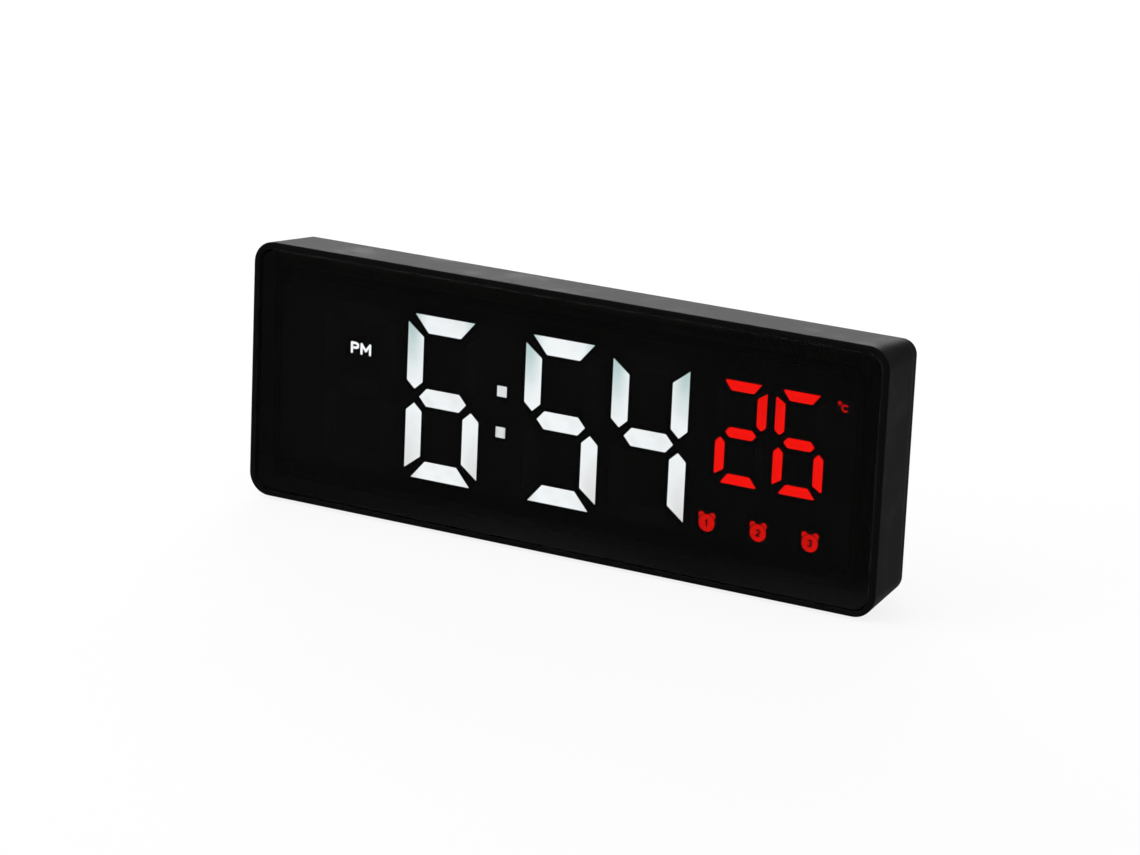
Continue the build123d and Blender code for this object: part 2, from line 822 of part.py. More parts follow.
# Rear cover: back, lap, battery bay, key panel, posts, keyhole pockets and all the openings
back_corner = max(corner_radius - body_depth * draft_share, least_radius)
back_round = min(back_edge_radius, back_corner * round_share)
cover_body = drafted_block(parting, body_depth, 0)
cover_tongue = drafted_block(parting - lap_depth + lap_fit, parting + cut, wall / 2 + lap_fit)
cover_room = drafted_block(parting - lap_depth - cut, cover_inner, wall)
seat_depth = door_inner - seat_gap
groove_width = 2 * (barrel_radius + door_fit)
groove_x = groove_width / 2 - recess_length / 2
groove_depth = hinge_depth - barrel_radius - door_fit
key_count = len(key_names)
key_row_length = key_pitch * (key_count - 1)
key_places = [(control_x - key_row_length / 2 + key_pitch * n, key_row_z) for n in range(key_count)]
panel_side = key_radius + key_fit + key_panel_border
panel_length = key_row_length + 2 * panel_side
panel_inner = cover_inner - key_panel_recess
control_post_x = control_width - 2 * control_post_inset
control_post_z = control_height - 2 * control_post_inset
head_seat = body_depth - cover_head_cover - screw_head_height
buzzer_place = (control_left + buzzer_side, -buzzer_drop)
sensor_place = (control_left + control_width - sensor_side, -sensor_drop)
inlet_place = (control_x, -inlet_drop)
opening_width = inlet_width + 2 * inlet_opening_fit
opening_height = inlet_height + 2 * inlet_opening_fit
pocket_side = keyhole_entry_radius + keyhole_head_room
pocket_height = keyhole_slot_rise + 2 * pocket_side
pocket_z = keyhole_lift + keyhole_slot_rise / 2
terminal_slot = (contact_thickness + 2 * tail_fit, tail_width + 2 * tail_fit)
cell_places = [cell_pitch * ((cell_count - 1) / 2 - n) for n in range(cell_count)]
tail_x = (bay_length - contact_thickness) / 2

with BuildPart() as rear_cover:
    add(cover_body)
    fillet(rear_cover.faces().sort_by(Axis.Y)[-1].edges(), back_round)
    add(cover_tongue)
    add(cover_room, mode=Mode.SUBTRACT)
    with BuildSketch(facing_front(cover_inner + wall / 2)):
        Rectangle(recess_length, recess_height)
    extrude(amount=cover_inner + wall / 2 - bay_front)
    with BuildSketch(facing_front(cover_inner + wall / 2)):
        with Locations((control_x, key_row_z)):
            RectangleRounded(panel_length + 2 * wall, 2 * (panel_side + wall), panel_side)
    extrude(amount=key_panel_recess + wall / 2)
    with BuildSketch(facing_front(cover_inner + wall / 2)):
        with Locations((control_x, control_z)):
            with GridLocations(control_post_x, control_post_z, 2, 2):
                Circle(control_post_radius)
    extrude(amount=cover_inner + wall / 2 - control_back)
    with BuildSketch(facing_front(cover_inner + wall / 2)):
        with GridLocations(2 * cover_screw_x, 2 * cover_screw_z, 2, 2):
            Circle(cover_post_radius)
    extrude(amount=cover_inner + wall / 2 - parting)
    with BuildSketch(facing_front(cover_inner + wall / 2)):
        with Locations((-keyhole_x, pocket_z), (keyhole_x, pocket_z)):
            Rectangle(2 * (pocket_side + keyhole_pocket_wall), pocket_height + 2 * keyhole_pocket_wall)
    extrude(amount=wall / 2 + keyhole_pocket_depth + keyhole_pocket_wall)

    # Battery bay, door seat, hinge groove, hinge holes and finger notch
    with BuildSketch(facing_front(body_depth + cut)):
        Rectangle(bay_length, bay_height)
    extrude(amount=body_depth + cut - bay_bottom, mode=Mode.SUBTRACT)
    with BuildSketch(facing_front(body_depth + cut)):
        Rectangle(recess_length, recess_height)
    extrude(amount=body_depth + cut - seat_depth, mode=Mode.SUBTRACT)
    with BuildSketch(facing_front(body_depth + cut)):
        with Locations((groove_x, 0)):
            Rectangle(groove_width, recess_height)
    extrude(amount=body_depth + cut - groove_depth, mode=Mode.SUBTRACT)
    hole_reach = recess_height / 2 + pivot_length + 2 * door_fit
    hinge_origin = (hinge_x, hinge_depth - body_depth / 2, front_middle - hole_reach)
    with BuildSketch(Plane(origin=hinge_origin, z_dir=(0, 0, 1))):
        Circle(pivot_radius + pivot_fit)
    extrude(amount=2 * hole_reach, mode=Mode.SUBTRACT)
    with BuildSketch(facing_front(body_depth + cut)):
        with Locations((recess_length / 2, 0)):
            RectangleRounded(2 * notch_length, notch_width, notch_radius)
    extrude(amount=notch_depth + cut, mode=Mode.SUBTRACT)
    with BuildSketch(facing_front(bay_bottom + cut)):
        with Locations((-tail_x, cell_places[0]), (tail_x, cell_places[-1])):
            Rectangle(*terminal_slot)
    extrude(amount=bay_floor + 2 * cut, mode=Mode.SUBTRACT)
    for upper, lower in zip(cell_places, cell_places[1:]):
        with BuildSketch(facing_front(bay_bottom + bay_rib_height)):
            with Locations((0, (upper + lower) / 2)):
                Rectangle(cell_length / 2, bay_rib_width)
        extrude(amount=bay_rib_height)

    # Key panel, key holes, inlet opening, sound holes and vents
    with BuildSketch(facing_front(body_depth + cut)):
        with Locations((control_x, key_row_z)):
            RectangleRounded(panel_length, 2 * panel_side, panel_side - least_radius)
    extrude(amount=key_panel_recess + cut, mode=Mode.SUBTRACT)
    with BuildSketch(facing_front(body_depth + cut)):
        with Locations(*key_places):
            Circle(key_radius + key_fit)
        with Locations(inlet_place):
            RectangleRounded(opening_width, opening_height, inlet_corner)
        with Locations(buzzer_place):
            Circle(sound_hole_radius)
            with PolarLocations(sound_ring_radius, sound_ring_count):
                Circle(sound_hole_radius)
        with Locations(sensor_place):
            with GridLocations(vent_pitch, vent_pitch, 1, vent_count):
                SlotOverall(vent_length, vent_width)
    extrude(amount=wall + key_panel_recess + 2 * cut, mode=Mode.SUBTRACT)
    with BuildSketch(facing_front(body_depth + cut)):
        with Locations(inlet_place):
            RectangleRounded(opening_width + 2 * inlet_flare, opening_height + 2 * inlet_flare, inlet_corner)
    extrude(amount=inlet_flare + cut, mode=Mode.SUBTRACT)

    # Label recess, screw holes and keyholes
    with BuildSketch(facing_front(body_depth + cut)):
        with Locations((label_side - front_width / 2, -label_drop)):
            RectangleRounded(label_width, label_height, label_corner)
    extrude(amount=label_recess + cut, mode=Mode.SUBTRACT)
    with BuildSketch(facing_front(body_depth + cut)):
        with GridLocations(2 * cover_screw_x, 2 * cover_screw_z, 2, 2):
            Circle(screw_radius + screw_clearance)
    extrude(amount=cover_depth + 2 * cut, mode=Mode.SUBTRACT)
    with BuildSketch(facing_front(body_depth + cut)):
        with GridLocations(2 * cover_screw_x, 2 * cover_screw_z, 2, 2):
            Circle(screw_head_radius + screw_head_fit)
    extrude(amount=body_depth + cut - head_seat, mode=Mode.SUBTRACT)
    with BuildSketch(facing_front(control_back + control_screw_grip + screw_clearance)):
        with Locations((control_x, control_z)):
            with GridLocations(control_post_x, control_post_z, 2, 2):
                Circle(screw_radius + screw_fit)
    extrude(amount=control_screw_grip + screw_clearance + cut, mode=Mode.SUBTRACT)
    with BuildSketch(facing_front(cover_inner)):
        with Locations((-keyhole_x, pocket_z), (keyhole_x, pocket_z)):
            Rectangle(2 * pocket_side, pocket_height)
    extrude(amount=keyhole_pocket_depth, mode=Mode.SUBTRACT)
    with BuildSketch(facing_front(body_depth + cut)):
        with Locations((-keyhole_x, keyhole_lift), (keyhole_x, keyhole_lift)):
            Circle(keyhole_entry_radius)
            with Locations((0, keyhole_slot_rise / 2)):
                Rectangle(2 * keyhole_slot_radius, keyhole_slot_rise)
            with Locations((0, keyhole_slot_rise)):
                Circle(keyhole_slot_radius)
    extrude(amount=wall + 2 * cut, mode=Mode.SUBTRACT)

rear_cover.part.label = "rear_cover"
export_step(rear_cover.part, "parts/rear_cover.step")

# Battery door: plate, hinge barrel with its pivots, spring tongue with a catch and finger grooves
door_right = recess_length / 2 - door_fit
door_height = recess_height - 2 * door_fit
barrel_origin = (hinge_x, hinge_depth - body_depth / 2, front_middle)

with BuildPart() as battery_door:
    with BuildSketch(facing_front(body_depth)):
        with Locations(((hinge_x + door_right) / 2, 0)):
            Rectangle(door_right - hinge_x, door_height)
    extrude(amount=door_thickness)
    with BuildSketch(Plane(origin=barrel_origin, z_dir=(0, 0, 1))):
        Circle(barrel_radius)
    extrude(amount=door_height / 2, both=True)
    with BuildSketch(Plane(origin=barrel_origin, z_dir=(0, 0, 1))):
        Circle(pivot_radius)
    extrude(amount=recess_height / 2 + pivot_length, both=True)
    with BuildSketch(facing_front(body_depth + cut)):
        with Locations((door_right + (cut - tongue_length) / 2, 0)):
            with GridLocations(tongue_width, tongue_width + tongue_slit, 1, 2):
                Rectangle(tongue_length + cut, tongue_slit)
    extrude(amount=door_thickness + 2 * cut, mode=Mode.SUBTRACT)
    with BuildSketch(facing_front(door_inner)):
        with Locations((bay_length / 2 - catch_fit - catch_thickness / 2, 0)):
            Rectangle(catch_thickness, catch_width)
    extrude(amount=catch_depth)
    with BuildSketch(facing_front(body_depth + cut)):
        with Locations((door_right - tongue_length / 2, 0)):
            with GridLocations(grip_pitch, grip_pitch, grip_count, 1):
                Rectangle(grip_width, catch_width)
    extrude(amount=grip_height + cut, mode=Mode.SUBTRACT)
    arrow_x = door_right - tongue_length - arrow_gap
    with BuildSketch(facing_front(body_depth + cut)):
        Polygon((arrow_x, -arrow_width / 2), (arrow_x, arrow_width / 2), (arrow_x - arrow_length, 0))
    extrude(amount=arrow_depth + cut, mode=Mode.SUBTRACT)

battery_door.part.label = "battery_door"
export_step(battery_door.part, "parts/battery_door.step")

# Cells, side by side and turned end for end in series
for n, z in enumerate(cell_places):
    way = 1 if n % 2 == 0 else -1
    base_x = way * (spring_room - bay_length / 2)
    shoulder = cell_length - cell_nub_height
    with BuildPart() as cell:
        with BuildSketch(facing_side(base_x)):
            with Locations((cell_axis_depth, z)):
                Circle(cell_diameter / 2)
        extrude(amount=way * shoulder)
        fillet(cell.edges().filter_by(GeomType.CIRCLE), cell_rim)
        with BuildSketch(facing_side(base_x)):
            with Locations((cell_axis_depth, z)):
                Circle(cell_nub_radius)
        extrude(amount=way * cell_length)
    cell.part.label = f"cell_{n + 1}"
    export_step(cell.part, f"parts/cell_{n + 1}.step")

# Contact plates: one at each end of the row with a solder tail, and one across each pair of cells
tail_end = bay_front - tail_reach
plate_end = cell_axis_depth - contact_side / 2
bridge_height = cell_pitch + contact_side

with BuildPart() as contact_plates:
    for way, single in ((-1, cell_places[0]), (1, cell_places[-1])):
        pair = (cell_places[1] + cell_places[-1]) / 2 if way < 0 else (cell_places[0] + cell_places[1]) / 2
        with BuildSketch(facing_side(way * (bay_length / 2 - contact_thickness))):
            with Locations((cell_axis_depth, single)):
                Rectangle(contact_side, contact_side)
            with Locations(((tail_end + plate_end) / 2, single)):
                Rectangle(plate_end - tail_end, tail_width)
            with Locations((cell_axis_depth, pair)):
                Rectangle(contact_side, bridge_height)
        extrude(amount=way * contact_thickness)

contact_plates.part.label = "contact_plates"
export_step(contact_plates.part, "parts/contact_plates.step")

# A cone-shaped coil at the flat end of each cell
coil_height = spring_height - 2 * spring_wire_radius
coil_cone = degrees(atan2(spring_base_radius - spring_tip_radius, coil_height))


def least_turn_gap(line):
    """The least gap between two turns of a coil, measured on points along its middle line."""
    last = spring_sample_count * spring_turns
    points = [line @ (n / last) for n in range(last + 1)]
    steps = range(spring_sample_count // 2, len(points))
    spans = [(points[n + step] - points[n]).length for step in steps for n in range(len(points) - step)]
    return min(spans) - 2 * spring_wire_radius


with BuildPart() as contact_springs:
    for n, z in enumerate(cell_places):
        way = 1 if n % 2 == 0 else -1
        start_x = way * (contact_thickness + spring_wire_radius - bay_length / 2)
        start = (start_x, cell_axis_depth - body_depth / 2, front_middle + z)
        with BuildLine() as coil:
            Helix(coil_height / spring_turns, coil_height, spring_base_radius, center=start,
                  direction=(way, 0, 0), cone_angle=-coil_cone)
        with BuildSketch(Plane(origin=coil.line @ 0, z_dir=coil.line % 0)):
            Circle(spring_wire_radius)
        sweep(path=coil.wires()[0], is_frenet=True)
    print(f"contact spring {n + 1}: least gap between turns {least_turn_gap(coil.line):.2f} mm")

contact_springs.part.label = "contact_springs"
export_step(contact_springs.part, "parts/contact_springs.step")

# Leads from the two solder tails to the control board
wire_depth = bay_front - wire_rise_gap - wire_radius
landing_x = control_left + lead_landing
leads = {
    "positive_lead": (bay_length / 2, cell_places[-1]),
    "negative_lead": (contact_thickness - bay_length / 2, cell_places[0]),
}

for name, (start_x, z) in leads.items():
    wire_y = wire_depth - body_depth / 2
    wire_z = front_middle + z
    with BuildPart() as lead:
        with BuildLine() as route:
            start = (start_x, wire_y, wire_z)
            corner = (landing_x, wire_y, wire_z)
            end = (landing_x, control_front - body_depth / 2, wire_z)
            FilletPolyline(start, corner, end, radius=wire_bend)
        with BuildSketch(Plane(origin=start, z_dir=(1, 0, 0))):
            Circle(wire_radius)
        sweep(path=route.wires()[0])
    lead.part.label = name
    export_step(lead.part, f"parts/{name}.step")

# Control board and what it carries
with BuildPart() as control_board:
    with BuildSketch(facing_front(control_back)):
        with Locations((control_x, control_z)):
            RectangleRounded(control_width, control_height, least_radius)
            with GridLocations(control_post_x, control_post_z, 2, 2):
                Circle(screw_radius + screw_clearance, mode=Mode.SUBTRACT)
    extrude(amount=board_thickness)

control_board.part.label = "control_board"
export_step(control_board.part, "parts/control_board.step")

with BuildPart() as controller_chip:
    add(leg_chip((control_x + chip_body_width, control_z), control_front, True))

controller_chip.part.label = "controller_chip"
export_step(controller_chip.part, "parts/controller_chip.step")

crystal_z = control_z - chip_body_width - chip_leg_reach - 2 * crystal_radius
crystal_axis = control_front - crystal_radius
pin_x = control_x + crystal_length / 2 + crystal_pin_length

with BuildPart() as clock_crystal:
    with BuildSketch(facing_side(control_x - crystal_length / 2)):
        with Locations((crystal_axis, crystal_z)):
            Circle(crystal_radius)
    extrude(amount=crystal_length)
    with BuildSketch(facing_side(control_x + crystal_length / 2 - crystal_pin_radius)):
        with Locations((crystal_axis, crystal_z)):
            with GridLocations(crystal_radius, crystal_radius, 1, 2):
                Circle(crystal_pin_radius)
    extrude(amount=crystal_pin_length + crystal_pin_radius)
    with BuildSketch(facing_front(control_front)):
        with Locations((pin_x, crystal_z)):
            with GridLocations(crystal_radius, crystal_radius, 1, 2):
                Circle(crystal_pin_radius)
    extrude(amount=crystal_radius + crystal_pin_radius)

clock_crystal.part.label = "clock_crystal"
export_step(clock_crystal.part, "parts/clock_crystal.step")

with BuildPart() as capacitor:
    with BuildSketch(facing_front(control_front)):
        with Locations((control_x + control_width / 2 - 4 * capacitor_radius, control_z)):
            Circle(capacitor_radius)
    extrude(amount=capacitor_height)
    chamfer(capacitor.faces().sort_by(Axis.Y)[0].edges(), capacitor_bevel)

capacitor.part.label = "capacitor"
export_step(capacitor.part, "parts/capacitor.step")

with BuildPart() as buzzer:
    with BuildSketch(facing_front(control_back + buzzer_height)):
        with Locations(buzzer_place):
            Circle(buzzer_radius)
    extrude(amount=buzzer_height)
    with BuildSketch(facing_front(control_back + buzzer_height)):
        with Locations(buzzer_place):
            Circle(buzzer_hole_radius)
    extrude(amount=buzzer_height / 2, mode=Mode.SUBTRACT)

buzzer.part.label = "buzzer"
export_step(buzzer.part, "parts/buzzer.step")

bead_y = control_back + sensor_height - body_depth / 2

with BuildPart() as thermistor:
    with BuildSketch(facing_front(control_back + sensor_height)):
        with Locations(sensor_place):
            with GridLocations(sensor_radius, sensor_radius, 2, 1):
                Circle(sensor_wire_radius)
    extrude(amount=sensor_height)
    with Locations((sensor_place[0], bead_y, front_middle + sensor_place[1])):
        Sphere(sensor_radius)

thermistor.part.label = "thermistor"
export_step(thermistor.part, "parts/thermistor.step")

inlet_top = body_depth - inlet_mouth_gap

with BuildPart() as power_inlet:
    with BuildSketch(facing_front(inlet_top)):
        with Locations(inlet_place):
            RectangleRounded(inlet_width, inlet_height, inlet_corner)
    extrude(amount=inlet_top - control_back)
    with BuildSketch(facing_front(inlet_top + cut)):
        with Locations(inlet_place):
            mouth_width = inlet_width - 2 * inlet_wall
            mouth_height = inlet_height - 2 * inlet_wall
            RectangleRounded(mouth_width, mouth_height, inlet_corner - inlet_wall)
    extrude(amount=inlet_depth + cut, mode=Mode.SUBTRACT)
    with BuildSketch(facing_front(inlet_top - 2 * inlet_wall)):
        with Locations(inlet_place):
            Rectangle(inlet_tongue_width, inlet_tongue_height)
    extrude(amount=inlet_depth)

power_inlet.part.label = "power_inlet"
export_step(power_inlet.part, "parts/power_inlet.step")

# Socket and pin header that join the two boards
link_middle = (control_left + 2 * lead_landing, control_z)
link_split = control_front - link_base_height
link_length = link_pins * link_pitch
pin_reach = (link_split - display_back) * link_reach_share
hole_side = link_pin_side + 2 * link_pin_fit

with BuildPart() as link_socket:
    with BuildSketch(facing_front(link_split)):
        with Locations(link_middle):
            Rectangle(link_body_width, link_length)
            with GridLocations(link_pitch, link_pitch, 1, link_pins):
                Rectangle(hole_side, hole_side, mode=Mode.SUBTRACT)
    extrude(amount=pin_reach + link_pin_fit)
    with BuildSketch(facing_front(link_split - pin_reach - link_pin_fit)):
        with Locations(link_middle):
            Rectangle(link_body_width, link_length)
    extrude(amount=link_split - pin_reach - link_pin_fit - display_back)

link_socket.part.label = "link_socket"
export_step(link_socket.part, "parts/link_socket.step")

with BuildPart() as link_header:
    with BuildSketch(facing_front(control_front)):
        with Locations(link_middle):
            Rectangle(link_body_width, link_length)
    extrude(amount=link_base_height)
    with BuildSketch(facing_front(link_split)):
        with Locations(link_middle):
            with GridLocations(link_pitch, link_pitch, 1, link_pins):
                Rectangle(link_pin_side, link_pin_side)
    extrude(amount=pin_reach)

link_header.part.label = "link_header"
export_step(link_header.part, "parts/link_header.step")

# Key switches: a base with legs for each key, and a plunger that rides with the key
switch_top = control_back + switch_height
well_depth = plunger_sink + key_travel + plunger_room

with BuildPart() as key_switches:
    with BuildSketch(facing_front(switch_top)):
        with Locations(*key_places):
            Rectangle(switch_side, switch_side)
    extrude(amount=switch_height)
    with BuildSketch(facing_front(control_back + switch_leg / 2)):
        with Locations(*key_places):
            with GridLocations(switch_side / 2, switch_side + switch_leg, 2, 2):
                Rectangle(switch_leg, switch_leg)
    extrude(amount=switch_leg / 2)
    with BuildSketch(facing_front(switch_top + cut)):
        with Locations(*key_places):
            Circle(plunger_radius + plunger_fit)
    extrude(amount=well_depth + cut, mode=Mode.SUBTRACT)

key_switches.part.label = "key_switches"
export_step(key_switches.part, "parts/key_switches.step")

key_top = body_depth - key_flush_gap
flange_top = panel_inner - key_flange_gap

for name, place in zip(key_names, key_places):
    with BuildPart() as plunger:
        with BuildSketch(facing_front(switch_top + plunger_reach)):
            with Locations(place):
                Circle(plunger_radius)
        extrude(amount=plunger_reach + plunger_sink)
    plunger.part.label = f"{name}_plunger"
    export_step(plunger.part, f"parts/{name}_plunger.step")
    with BuildPart() as key:
        with BuildSketch(facing_front(key_top)):
            with Locations(place):
                Circle(key_radius)
        extrude(amount=key_top - flange_top + key_flange_height / 2)
        fillet(key.faces().sort_by(Axis.Y)[-1].edges(), key_edge)
        with BuildSketch(facing_front(flange_top)):
            with Locations(place):
                Circle(key_flange_radius)
        extrude(amount=key_flange_height)
        with BuildSketch(facing_front(key_top + cut)):
            with Locations(place):
                Circle(key_dish_radius)
        extrude(amount=key_dish_depth + cut, mode=Mode.SUBTRACT)
    key.part.label = f"{name}_key"
    export_step(key.part, f"parts/{name}_key.step")


def screw(place, seat, reach, way):
    """A screw whose head stands on a seat; its shank runs to the front when way is 1, else to the back."""
    with BuildPart() as body:
        with BuildSketch(facing_front(seat)):
            with Locations(place):
                Circle(screw_radius)
        extrude(amount=way * reach)
        with BuildSketch(facing_front(seat)):
            with Locations(place):
                Circle(screw_head_radius)
        extrude(amount=-way * screw_head_height)
        with BuildSketch(facing_front(seat + way * screw_head_height)):
            with Locations(place):
                Rectangle(2 * screw_drive_radius, screw_drive_radius / 2)
                Rectangle(screw_drive_radius / 2, 2 * screw_drive_radius)
        extrude(amount=way * screw_drive_depth, mode=Mode.SUBTRACT)
    return body.part


cover_screw_reach = head_seat - parting + cover_screw_grip
display_screw_reach = board_thickness + board_screw_grip
control_screw_reach = board_thickness + control_screw_grip

cover_screw_set = [
    screw((side * cover_screw_x, level * cover_screw_z), head_seat, cover_screw_reach, 1)
    for side in (-1, 1)
    for level in (-1, 1)
]
with BuildPart() as cover_screws:
    add(cover_screw_set)

cover_screws.part.label = "cover_screws"
export_step(cover_screws.part, "parts/cover_screws.step")

board_screw_set = [
    screw((column * board_post_x, level * board_post_z), display_back, display_screw_reach, 1)
    for column in (-1, 0, 1)
    for level in (-1, 1)
]
board_screw_set += [
    screw((control_x + side * control_post_x / 2, control_z + level * control_post_z / 2),
          control_front, control_screw_reach, -1)
    for side in (-1, 1)
    for level in (-1, 1)
]
with BuildPart() as board_screws:
    add(board_screw_set)

board_screws.part.label = "board_screws"
export_step(board_screws.part, "parts/board_screws.step")

# Foot pads: wedges that fill the drafted bottom and stand the front upright
pad_start = pad_setback
pad_end = parting - pad_gap

for name, side in (("foot_pad_left", -1), ("foot_pad_right", 1)):
    pad_x = side * (front_width / 2 - pad_side)
    with BuildPart() as pad:
        with BuildSketch(facing_side(pad_x - pad_width / 2)):
            Polygon(
                (pad_start, -front_middle),
                (pad_end, -front_middle),
                (pad_end, pad_end * draft_share - front_height / 2),
                (pad_start, pad_start * draft_share - front_height / 2),
            )
        extrude(amount=pad_width)
        fillet(pad.edges().filter_by(Axis.Z), pad_corner)
    pad.part.label = name
    export_step(pad.part, f"parts/{name}.step")
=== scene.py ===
"""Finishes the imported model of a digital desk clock, adds its small signs and sets its stage.

It is laid out as a Blender add-on and run as a script. Lengths are in metres, in the frame of the CAD model:
X to the right seen from the front, Y to the back, Z up, with the origin on the table under the clock.
"""

import bmesh
import bpy
from bpy.props import FloatProperty, FloatVectorProperty, PointerProperty
from math import pi, radians
from mathutils import Euler, Matrix, Quaternion, Vector


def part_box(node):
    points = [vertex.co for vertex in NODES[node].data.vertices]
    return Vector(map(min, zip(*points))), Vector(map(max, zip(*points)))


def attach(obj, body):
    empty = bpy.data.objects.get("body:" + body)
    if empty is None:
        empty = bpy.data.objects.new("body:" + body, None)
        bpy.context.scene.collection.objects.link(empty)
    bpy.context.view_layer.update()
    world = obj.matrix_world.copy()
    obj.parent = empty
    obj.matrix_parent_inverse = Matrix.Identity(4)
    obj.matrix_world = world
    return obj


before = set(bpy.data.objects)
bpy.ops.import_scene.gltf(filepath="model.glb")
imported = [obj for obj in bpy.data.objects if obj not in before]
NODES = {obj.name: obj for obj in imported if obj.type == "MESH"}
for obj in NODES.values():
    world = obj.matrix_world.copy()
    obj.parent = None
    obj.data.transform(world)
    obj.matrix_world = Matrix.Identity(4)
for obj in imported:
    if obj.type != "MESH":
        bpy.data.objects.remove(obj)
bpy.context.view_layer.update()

bl_info = {
    "name": "Digital Desk Clock",
    "version": (1, 0, 0),
    "blender": (4, 5, 0),
    "location": "3D View > Sidebar > Clock",
    "description": "Finishes for a digital desk clock, the signs in its keys and its studio stage",
    "category": "Object",
}

MM = 0.001

# The middles of the white digits: their lit segments don't all reach the sides, so a box can't give them
WHITE_DIGITS = {
    "hour_unit_lit_segments": -37.075 * MM,
    "minute_ten_lit_segments": 1.075 * MM,
    "minute_unit_lit_segments": 28.575 * MM,
}
RED_DIGITS = ("degree_ten_lit_segments", "degree_unit_lit_segments")
DARK_SEGMENTS = [node for node in NODES if "_dark_segment" in node]
ALARM_MARKS = ("alarm_mark_1", "alarm_mark_2", "alarm_mark_3")
KEY_NAMES = ("mode", "alarm", "up", "down", "snooze")

FACE_MIDDLE_HEIGHT = 38.3 * MM
DIGIT_HALF_WIDTH = 11.825 * MM
DIGIT_HALF_HEIGHT = 23.75 * MM


def box_middle(node):
    """The middle of a CAD node's box."""
    low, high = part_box(node)
    return (low + high) / 2


def box_size(node):
    """The size of a CAD node's box."""
    low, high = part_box(node)
    return high - low


def grey(value):
    """A neutral colour."""
    return (value, value, value)


def scaled(colour, share):
    """A colour made darker or lighter."""
    return tuple(share * part for part in colour)


class Nodes:
    """A node tree, with the steps that masks, values and colours are made in."""

    def __init__(self, tree):
        self.tree = tree
        self.place = None

    def feed(self, socket, value):
        """Feeds one socket with another socket, or sets its value. Colours become opaque."""
        if isinstance(value, bpy.types.NodeSocket):
            self.tree.links.new(value, socket)
        else:
            socket.default_value = (*value, 1.0) if socket.type == "RGBA" else value

    def feed_named(self, sockets, values):
        """Feeds sockets by their names, written with underscores for spaces."""
        for name, value in values.items():
            self.feed(sockets[name.replace("_", " ")], value)

    def add(self, kind, inputs=None, **settings):
        """Adds a node, sets its options and feeds the inputs that are given by name or number."""
        node = self.tree.nodes.new(kind)
        for name, value in settings.items():
            setattr(node, name, value)
        for key, value in (inputs or {}).items():
            self.feed(node.inputs[key], value)
        return node

    def calc(self, operation, *values, clamp=False):
        """The result of a Math node."""
        inputs = dict(enumerate(values))
        return self.add("ShaderNodeMath", inputs, operation=operation, use_clamp=clamp).outputs[0]

    def vector_calc(self, operation, *values):
        """The outputs of a Vector Math node."""
        return self.add("ShaderNodeVectorMath", dict(enumerate(values)), operation=operation).outputs

    def product(self, first, *others):
        """Several values or masks multiplied together."""
        for other in others:
            first = self.calc("MULTIPLY", first, other)
        return first

    def inverse(self, mask):
        """What a mask leaves out."""
        return self.calc("SUBTRACT", 1.0, mask)

    def ramp(self, value, start, end, low=0.0, high=1.0):
        """A value eased from one range to another, and held at its ends."""
        inputs = {"Value": value, "From Min": start, "From Max": end, "To Min": low, "To Max": high}
        return self.add("ShaderNodeMapRange", inputs, interpolation_type="SMOOTHSTEP").outputs["Result"]

    def magnitude(self, value):
        """A value without its sign."""
        return self.calc("ABSOLUTE", value)

    def within(self, value, reach, softness):
        """A mask that is one where a value is nearer to zero than a reach."""
        return self.ramp(self.magnitude(value), reach + softness, reach - softness)

    def patch(self, x, z, half_width, half_height, softness):
        """A mask of a rectangle."""
        return self.product(self.within(x, half_width, softness), self.within(z, half_height, softness))

    def blend(self, factor, first, second, kind="MIX"):
        """Two colours mixed by a factor."""
        inputs = {0: factor, 6: first, 7: second}
        return self.add("ShaderNodeMix", inputs, data_type="RGBA", blend_type=kind).outputs[2]

    def noise(self, scale, detail=2.0, roughness=0.5, vector=None):
        """The grey value of a Noise Texture."""
        inputs = {"Vector": vector or self.place, "Scale": scale, "Detail": detail, "Roughness": roughness}
        return self.add("ShaderNodeTexNoise", inputs).outputs["Fac"]

    def specks(self, scale):
        """How far it is to the nearest of many scattered points."""
        return self.add("ShaderNodeTexVoronoi", {"Vector": self.place, "Scale": scale}).outputs["Distance"]

    def flecked(self, scale, first, second):
        """Two colours mixed by a noise."""
        return self.blend(self.noise(scale), first, second)

    def uneven(self, scale, low, high):
        """A value that a noise moves between two others."""
        return self.ramp(self.noise(scale), 0.3, 0.7, low, high)

    def axes(self, vector=None):
        """The three parts of a vector, or of the place that the finish is read at."""
        return self.add("ShaderNodeSeparateXYZ", {"Vector": vector or self.place}).outputs

    def centred(self, middle):
        """The place, moved so that a middle becomes its zero."""
        return self.mapped(Location=-Vector(middle))

    def from_middle(self, middle):
        """How far the place is from a middle along each axis."""
        return self.axes(self.centred(middle))

    def mapped(self, **inputs):
        """The place, moved, turned or drawn out."""
        return self.add("ShaderNodeMapping", {"Vector": self.place, **inputs}).outputs[0]

    def true_normal(self):
        """The true surface direction."""
        return self.add("ShaderNodeNewGeometry").outputs["True Normal"]

    def facing(self):
        """The three parts of the true surface direction."""
        return self.axes(self.true_normal())

    def effect(self, name, **inputs):
        """Places an effect that several finishes share and gives its outputs."""
        node = self.add("ShaderNodeGroup", node_tree=EFFECTS[name].tree)
        self.feed_named(node.inputs, {"Vector": self.place, **inputs})
        return node.outputs


